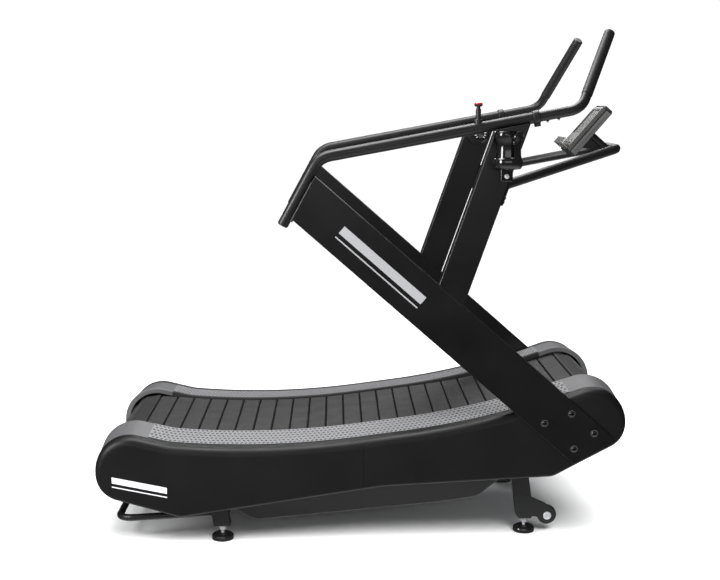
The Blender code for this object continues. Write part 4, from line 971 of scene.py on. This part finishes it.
def build_bottle_cage():
    """Four curved fingers on a flared cup, with a stem bolted to the upright."""
    claw = ((0.0450, 0.0), (0.0478, 0.004), (0.0490, 0.010), (0.0484, 0.018), (0.0450, 0.028),
            (0.0415, 0.038), (0.0405, 0.048), (0.0405, 0.062), (0.0412, 0.078), (0.0435, 0.088))
    wall, fingers, columns, slot, twist = 0.0035, 4, 10, math.radians(8.0), math.radians(-78.0)
    bm = bmesh.new()
    for finger in range(fingers):
        start = twist + finger * math.pi / 2 + slot
        rings = []
        for column in range(columns + 1):
            edge = abs(2 * column / columns - 1)
            angle = start + (math.pi / 2 - 2 * slot) * column / columns
            drop = 0.012 * max(edge - 0.45, 0.0) ** 2 / 0.3
            outer = [(radius, CAGE_TOP - depth - (drop if index < 3 else 0.0))
                     for index, (radius, depth) in enumerate(claw)]
            inner = [(radius - wall, height) for radius, height in outer[::-1]]
            rings.append([bm.verts.new((r * math.cos(angle), r * math.sin(angle), z))
                          for r, z in outer + inner])
        solid(bm, rings)
    claws = softened(new_object(bm), 0.0016)
    cup = ((0.0400, 0.084), (0.0452, 0.087), (0.0476, 0.094), (0.0478, 0.104), (0.0450, 0.114),
           (0.0390, 0.121), (0.0120, 0.124), (0.0, 0.124), (0.0, 0.119), (0.0380, 0.116), (0.0400, 0.108))
    wall_y = -ARM_OUT - 0.0004 - CAGE_AT.y
    stem = block((-0.0200, 0.0250, CAGE_TOP - 0.164), (0.0200, wall_y, CAGE_TOP - 0.112), 0.004, 4)
    back = block((-0.0180, 0.0385, CAGE_TOP - 0.130), (0.0180, wall_y, CAGE_TOP - 0.014), 0.003)
    bolt = along_y(dome_bolt(0.0080, 0.0052), Vector((0.0, CAGE_TOP - 0.146)), 0.0252, -1)
    cup_shape = lathe(below(CAGE_TOP, cup), 56)
    parts = [(claws, GLOSS), (cup_shape, GLOSS), (stem, GLOSS), (back, GLOSS), (bolt, ZINC_AND_PAINTED_SHEEN)]
    for item, _ in parts:
        item.matrix_world = Matrix.Translation((*CAGE_AT, 0.0)) @ item.matrix_world
    piece("bottle_cage_shell", parts, ["bottle_cage"])


def build_dial():
    face, top, low = ARM_IN - 0.0003, 0.0610, 0.0143
    base = [(0.0061, 0.0140), (0.0400, 0.0140), (0.0432, 0.0132), (0.0448, 0.0110), (0.0450, 0.0020),
            (0.0442, 0.0), (0.0061, 0.0)]
    piece("dial_housing", [(along_y(lathe(base, 72, closed=True), DIAL_AT, face, -1), DARK)],
          ["dial_base"])
    knob = [(0.0, top - 0.001), (0.0120, top - 0.001), (0.0130, top), (0.0285, top), (0.0320, top - 0.0015),
            (0.0348, top - 0.0050), (0.0368, low + 0.010), (0.0368, low + 0.003), (0.0352, low),
            (0.0060, low), (0.0060, 0.002), (0.0, 0.002)]
    parts = [(along_y(lathe(knob, 72), DIAL_AT, face, -1), GLOSS)]
    ribs = [(2 * math.pi * i / RIBS, 0.0350, 0.0374, low + 0.004, top - 0.010, 0.0006, DARK)
            for i in range(RIBS)]
    turns = [math.radians(TICK_TURN * (i - TICKS // 2)) for i in range(TICKS)]
    ticks = [(turn, 0.0160, 0.0225, top - 0.0003, top + 0.0003, 0.0, WHITE) for turn in turns]
    for angle, inner, outer, base_z, top_z, edge, material in ribs + ticks:
        bar = block((-0.0011, inner, base_z), (0.0011, outer, top_z), edge, 2)
        turn = Matrix.Rotation(math.pi / 2, 3, "X") @ Matrix.Rotation(angle, 3, "Z")
        parts.append((placed(bar, across_at(DIAL_AT, face), turn), material))
    piece("dial_knob_cap", parts, ["dial_knob"], "dial_knob")


def build_stop_button():
    place, foot, skirt = (POST_X, -ARM_Y, 0.0), rail_height(POST_X) + 0.010, CAP_TOP - 0.0065
    post = [(0.0066, POST_TOP), (0.0082, POST_TOP), (0.0090, POST_TOP - 0.0014), (0.0090, foot + 0.020),
            (0.0098, foot + 0.0185), (0.0125, foot + 0.017), (0.0132, foot + 0.014), (0.0132, foot),
            (0.0, foot), (0.0, POST_TOP - 0.030), (0.0066, POST_TOP - 0.030)]
    piece("stop_button_stem", [(placed(lathe(post, 40), place), DARK)], ["stop_button_post"])
    low, root = POST_TOP + 0.0070, POST_TOP - 0.020
    cap = [(0.0142, skirt), (0.0136, CAP_TOP - 0.0100), (0.0110, low), (0.0064, low), (0.0064, root),
           (0.0, root)]
    dome = below(CAP_TOP, ((0.0, 0.0), (0.0070, 0.0002), (0.0112, 0.0014), (0.0135, 0.0036)))
    dome += [(0.0142, skirt), (0.0, skirt)]
    parts = all_placed(((lathe(cap, 40), DARK), (lathe(dome, 40), RED)), place)
    piece("stop_button_head", parts, ["stop_button_cap"], "stop_button")


def build_belly_pan():
    """A shallow tub under the belt, open at the top, with rounded ends."""
    half, wall = 0.2713, 0.003
    outer = rounded(((-0.452, 0.200, 0.0), (0.515, 0.245, 0.0), (0.515, 0.198, 0.020), (0.478, 0.166, 0.055),
                     (0.420, 0.119, 0.090), (0.300, 0.100, 0.300), (-0.375, 0.036, 0.090),
                     (-0.452, 0.086, 0.060)))
    inner = rounded(((-0.449, 0.230, 0.0), (0.512, 0.275, 0.0), (0.512, 0.200, 0.017), (0.475, 0.169, 0.052),
                     (0.419, 0.122, 0.087), (0.300, 0.103, 0.300), (-0.374, 0.039, 0.057),
                     (-0.449, 0.088, 0.057)))
    shell = cut(prism(outer, -half, half, 0.0065, 4), prism(inner, wall - half, half - wall))
    piece("belly_pan_shell", [(shell, PAN_PAINTED_BOUNCE)], ["belly_pan"], crease=35.0)


# ---------------------------------------------------------------- inside the machine
def build_inside():
    for name, _ in SIDES:
        refined("side_plate_" + name, POWDER)
        refined("roller_rail_" + name, BEARINGS, edge=0.0)
        for end in ("rear", "front"):
            refined("bearing_" + end + "_" + name, STEEL)
    for end in ("rear", "front"):
        refined("cross_member_" + end, POWDER, edge=0.0)
        refined(end + "_roller", ALLOY, end + "_roller")
    refined("brake_disc", ALLOY, "front_roller")
    refined("brake_arm", STEEL, "brake_arm", edge=0.0)


# ---------------------------------------------------------------- studio
def lamp(name, kind, power, location, towards):
    """A lamp that shines in a direction."""
    data = bpy.data.lights.new(name, kind)
    data.energy = power
    item = show(bpy.data.objects.new(name, data))
    item.location = location
    item.rotation_euler = towards.to_track_quat("-Z", "Y").to_euler()
    return item


def area_light(name, location, target, size, power):
    """A rectangular lamp aimed at a place."""
    data = lamp(name, "AREA", power, location, Vector(target) - Vector(location)).data
    data.shape = "RECTANGLE"
    data.size, data.size_y = size


def build_camera():
    data = bpy.data.cameras.new("camera")
    data.lens = CAMERA_LENS
    data.sensor_width = 36.0
    camera = show(bpy.data.objects.new("camera", data))
    camera.location = CAMERA_AT + SHIFT
    camera.rotation_euler = (math.pi / 2 - CAMERA_DOWN, 0.0, -CAMERA_RIGHT)
    bpy.context.scene.camera = camera


def build_floor():
    bm = bmesh.new()
    bm.faces.new([bm.verts.new((x * FLOOR_HALF, y * FLOOR_HALF, FLOOR_Z))
                  for x, y in ((-1, -1), (1, -1), (1, 1), (-1, 1))])
    floor = show(new_object(bm, "studio_floor"))
    floor.data.materials.append(surface("studio_floor", (0.92, 0.92, 0.92), 0.60, blotch=1.5, spread=0.01,
                                        grain=60.0, bump=0.0, shine=0.15))
    floor.visible_glossy = False


def build_world():
    """White for the camera, a soft fill for the shadows, and a dark room with a pale floor in reflections."""
    scene = bpy.context.scene
    scene.view_settings.view_transform = "Standard"
    scene.world = bpy.data.worlds.new("studio")
    scene.world.use_nodes = True
    nodes, links = scene.world.node_tree.nodes, scene.world.node_tree.links
    nodes.clear()
    path = nodes.new("ShaderNodeLightPath")
    fill, seen, mirrored = (nodes.new("ShaderNodeBackground") for _ in range(3))
    set_inputs(fill, Color=(0.95, 0.97, 1.0, 1.0), Strength=0.29)
    set_inputs(seen, Color=(1.0, 1.0, 1.0, 1.0), Strength=1.1)
    set_inputs(mirrored, Color=(1.0, 1.0, 1.0, 1.0))
    place, split = nodes.new("ShaderNodeTexCoord"), nodes.new("ShaderNodeSeparateXYZ")
    fade = nodes.new("ShaderNodeMapRange")
    set_inputs(fade, From_Min=-0.85, From_Max=-0.35, To_Min=1.1, To_Max=0.02)
    links.new(place.outputs["Generated"], split.inputs["Vector"])
    links.new(split.outputs["Z"], fade.inputs["Value"])
    links.new(fade.outputs["Result"], mirrored.inputs["Strength"])
    glossy, camera = nodes.new("ShaderNodeMixShader"), nodes.new("ShaderNodeMixShader")
    for mix, ray, other, chosen in ((glossy, "Is Glossy Ray", fill.outputs["Background"], mirrored),
                                    (camera, "Is Camera Ray", glossy.outputs["Shader"], seen)):
        links.new(path.outputs[ray], mix.inputs["Fac"])
        links.new(other, mix.inputs[1])
        links.new(chosen.outputs["Background"], mix.inputs[2])
    output = nodes.new("ShaderNodeOutputWorld")
    links.new(camera.outputs["Shader"], output.inputs["Surface"])


def build_lights():
    sun = lamp("soft_sun", "SUN", 3.9, (0.0, 0.0, 0.0), Vector((-0.22, 0.75, -1.0)))
    sun.data.angle = math.radians(30.0)
    sun.visible_glossy = False
    area_light("top_softbox", (-0.2, 0.3, 3.3), (0.0, 0.0, 0.4), (3.4, 1.3), 125)
    area_light("left_strip", (-2.6, -1.7, 1.9), (0.1, -0.4, 1.2), (0.70, 1.8), 85)
    area_light("front_panel", (-0.5, -6.2, 2.10), (-0.2, 0.0, 0.9), (6.0, 1.6), 42)
    area_light("rear_strip", (0.4, 3.2, 2.6), (0.0, 0.0, 0.8), (3.4, 0.6), 35)


for build in (build_camera, build_world, build_lights, build_floor, build_covers, build_top_strips,
              build_belt, build_arms, build_uprights, build_rails, build_stands, build_feet, build_wheels,
              build_lift_handle, build_belly_pan, build_console, build_console_frame, build_bottle_cage,
              build_dial, build_stop_button, build_inside):
    build()
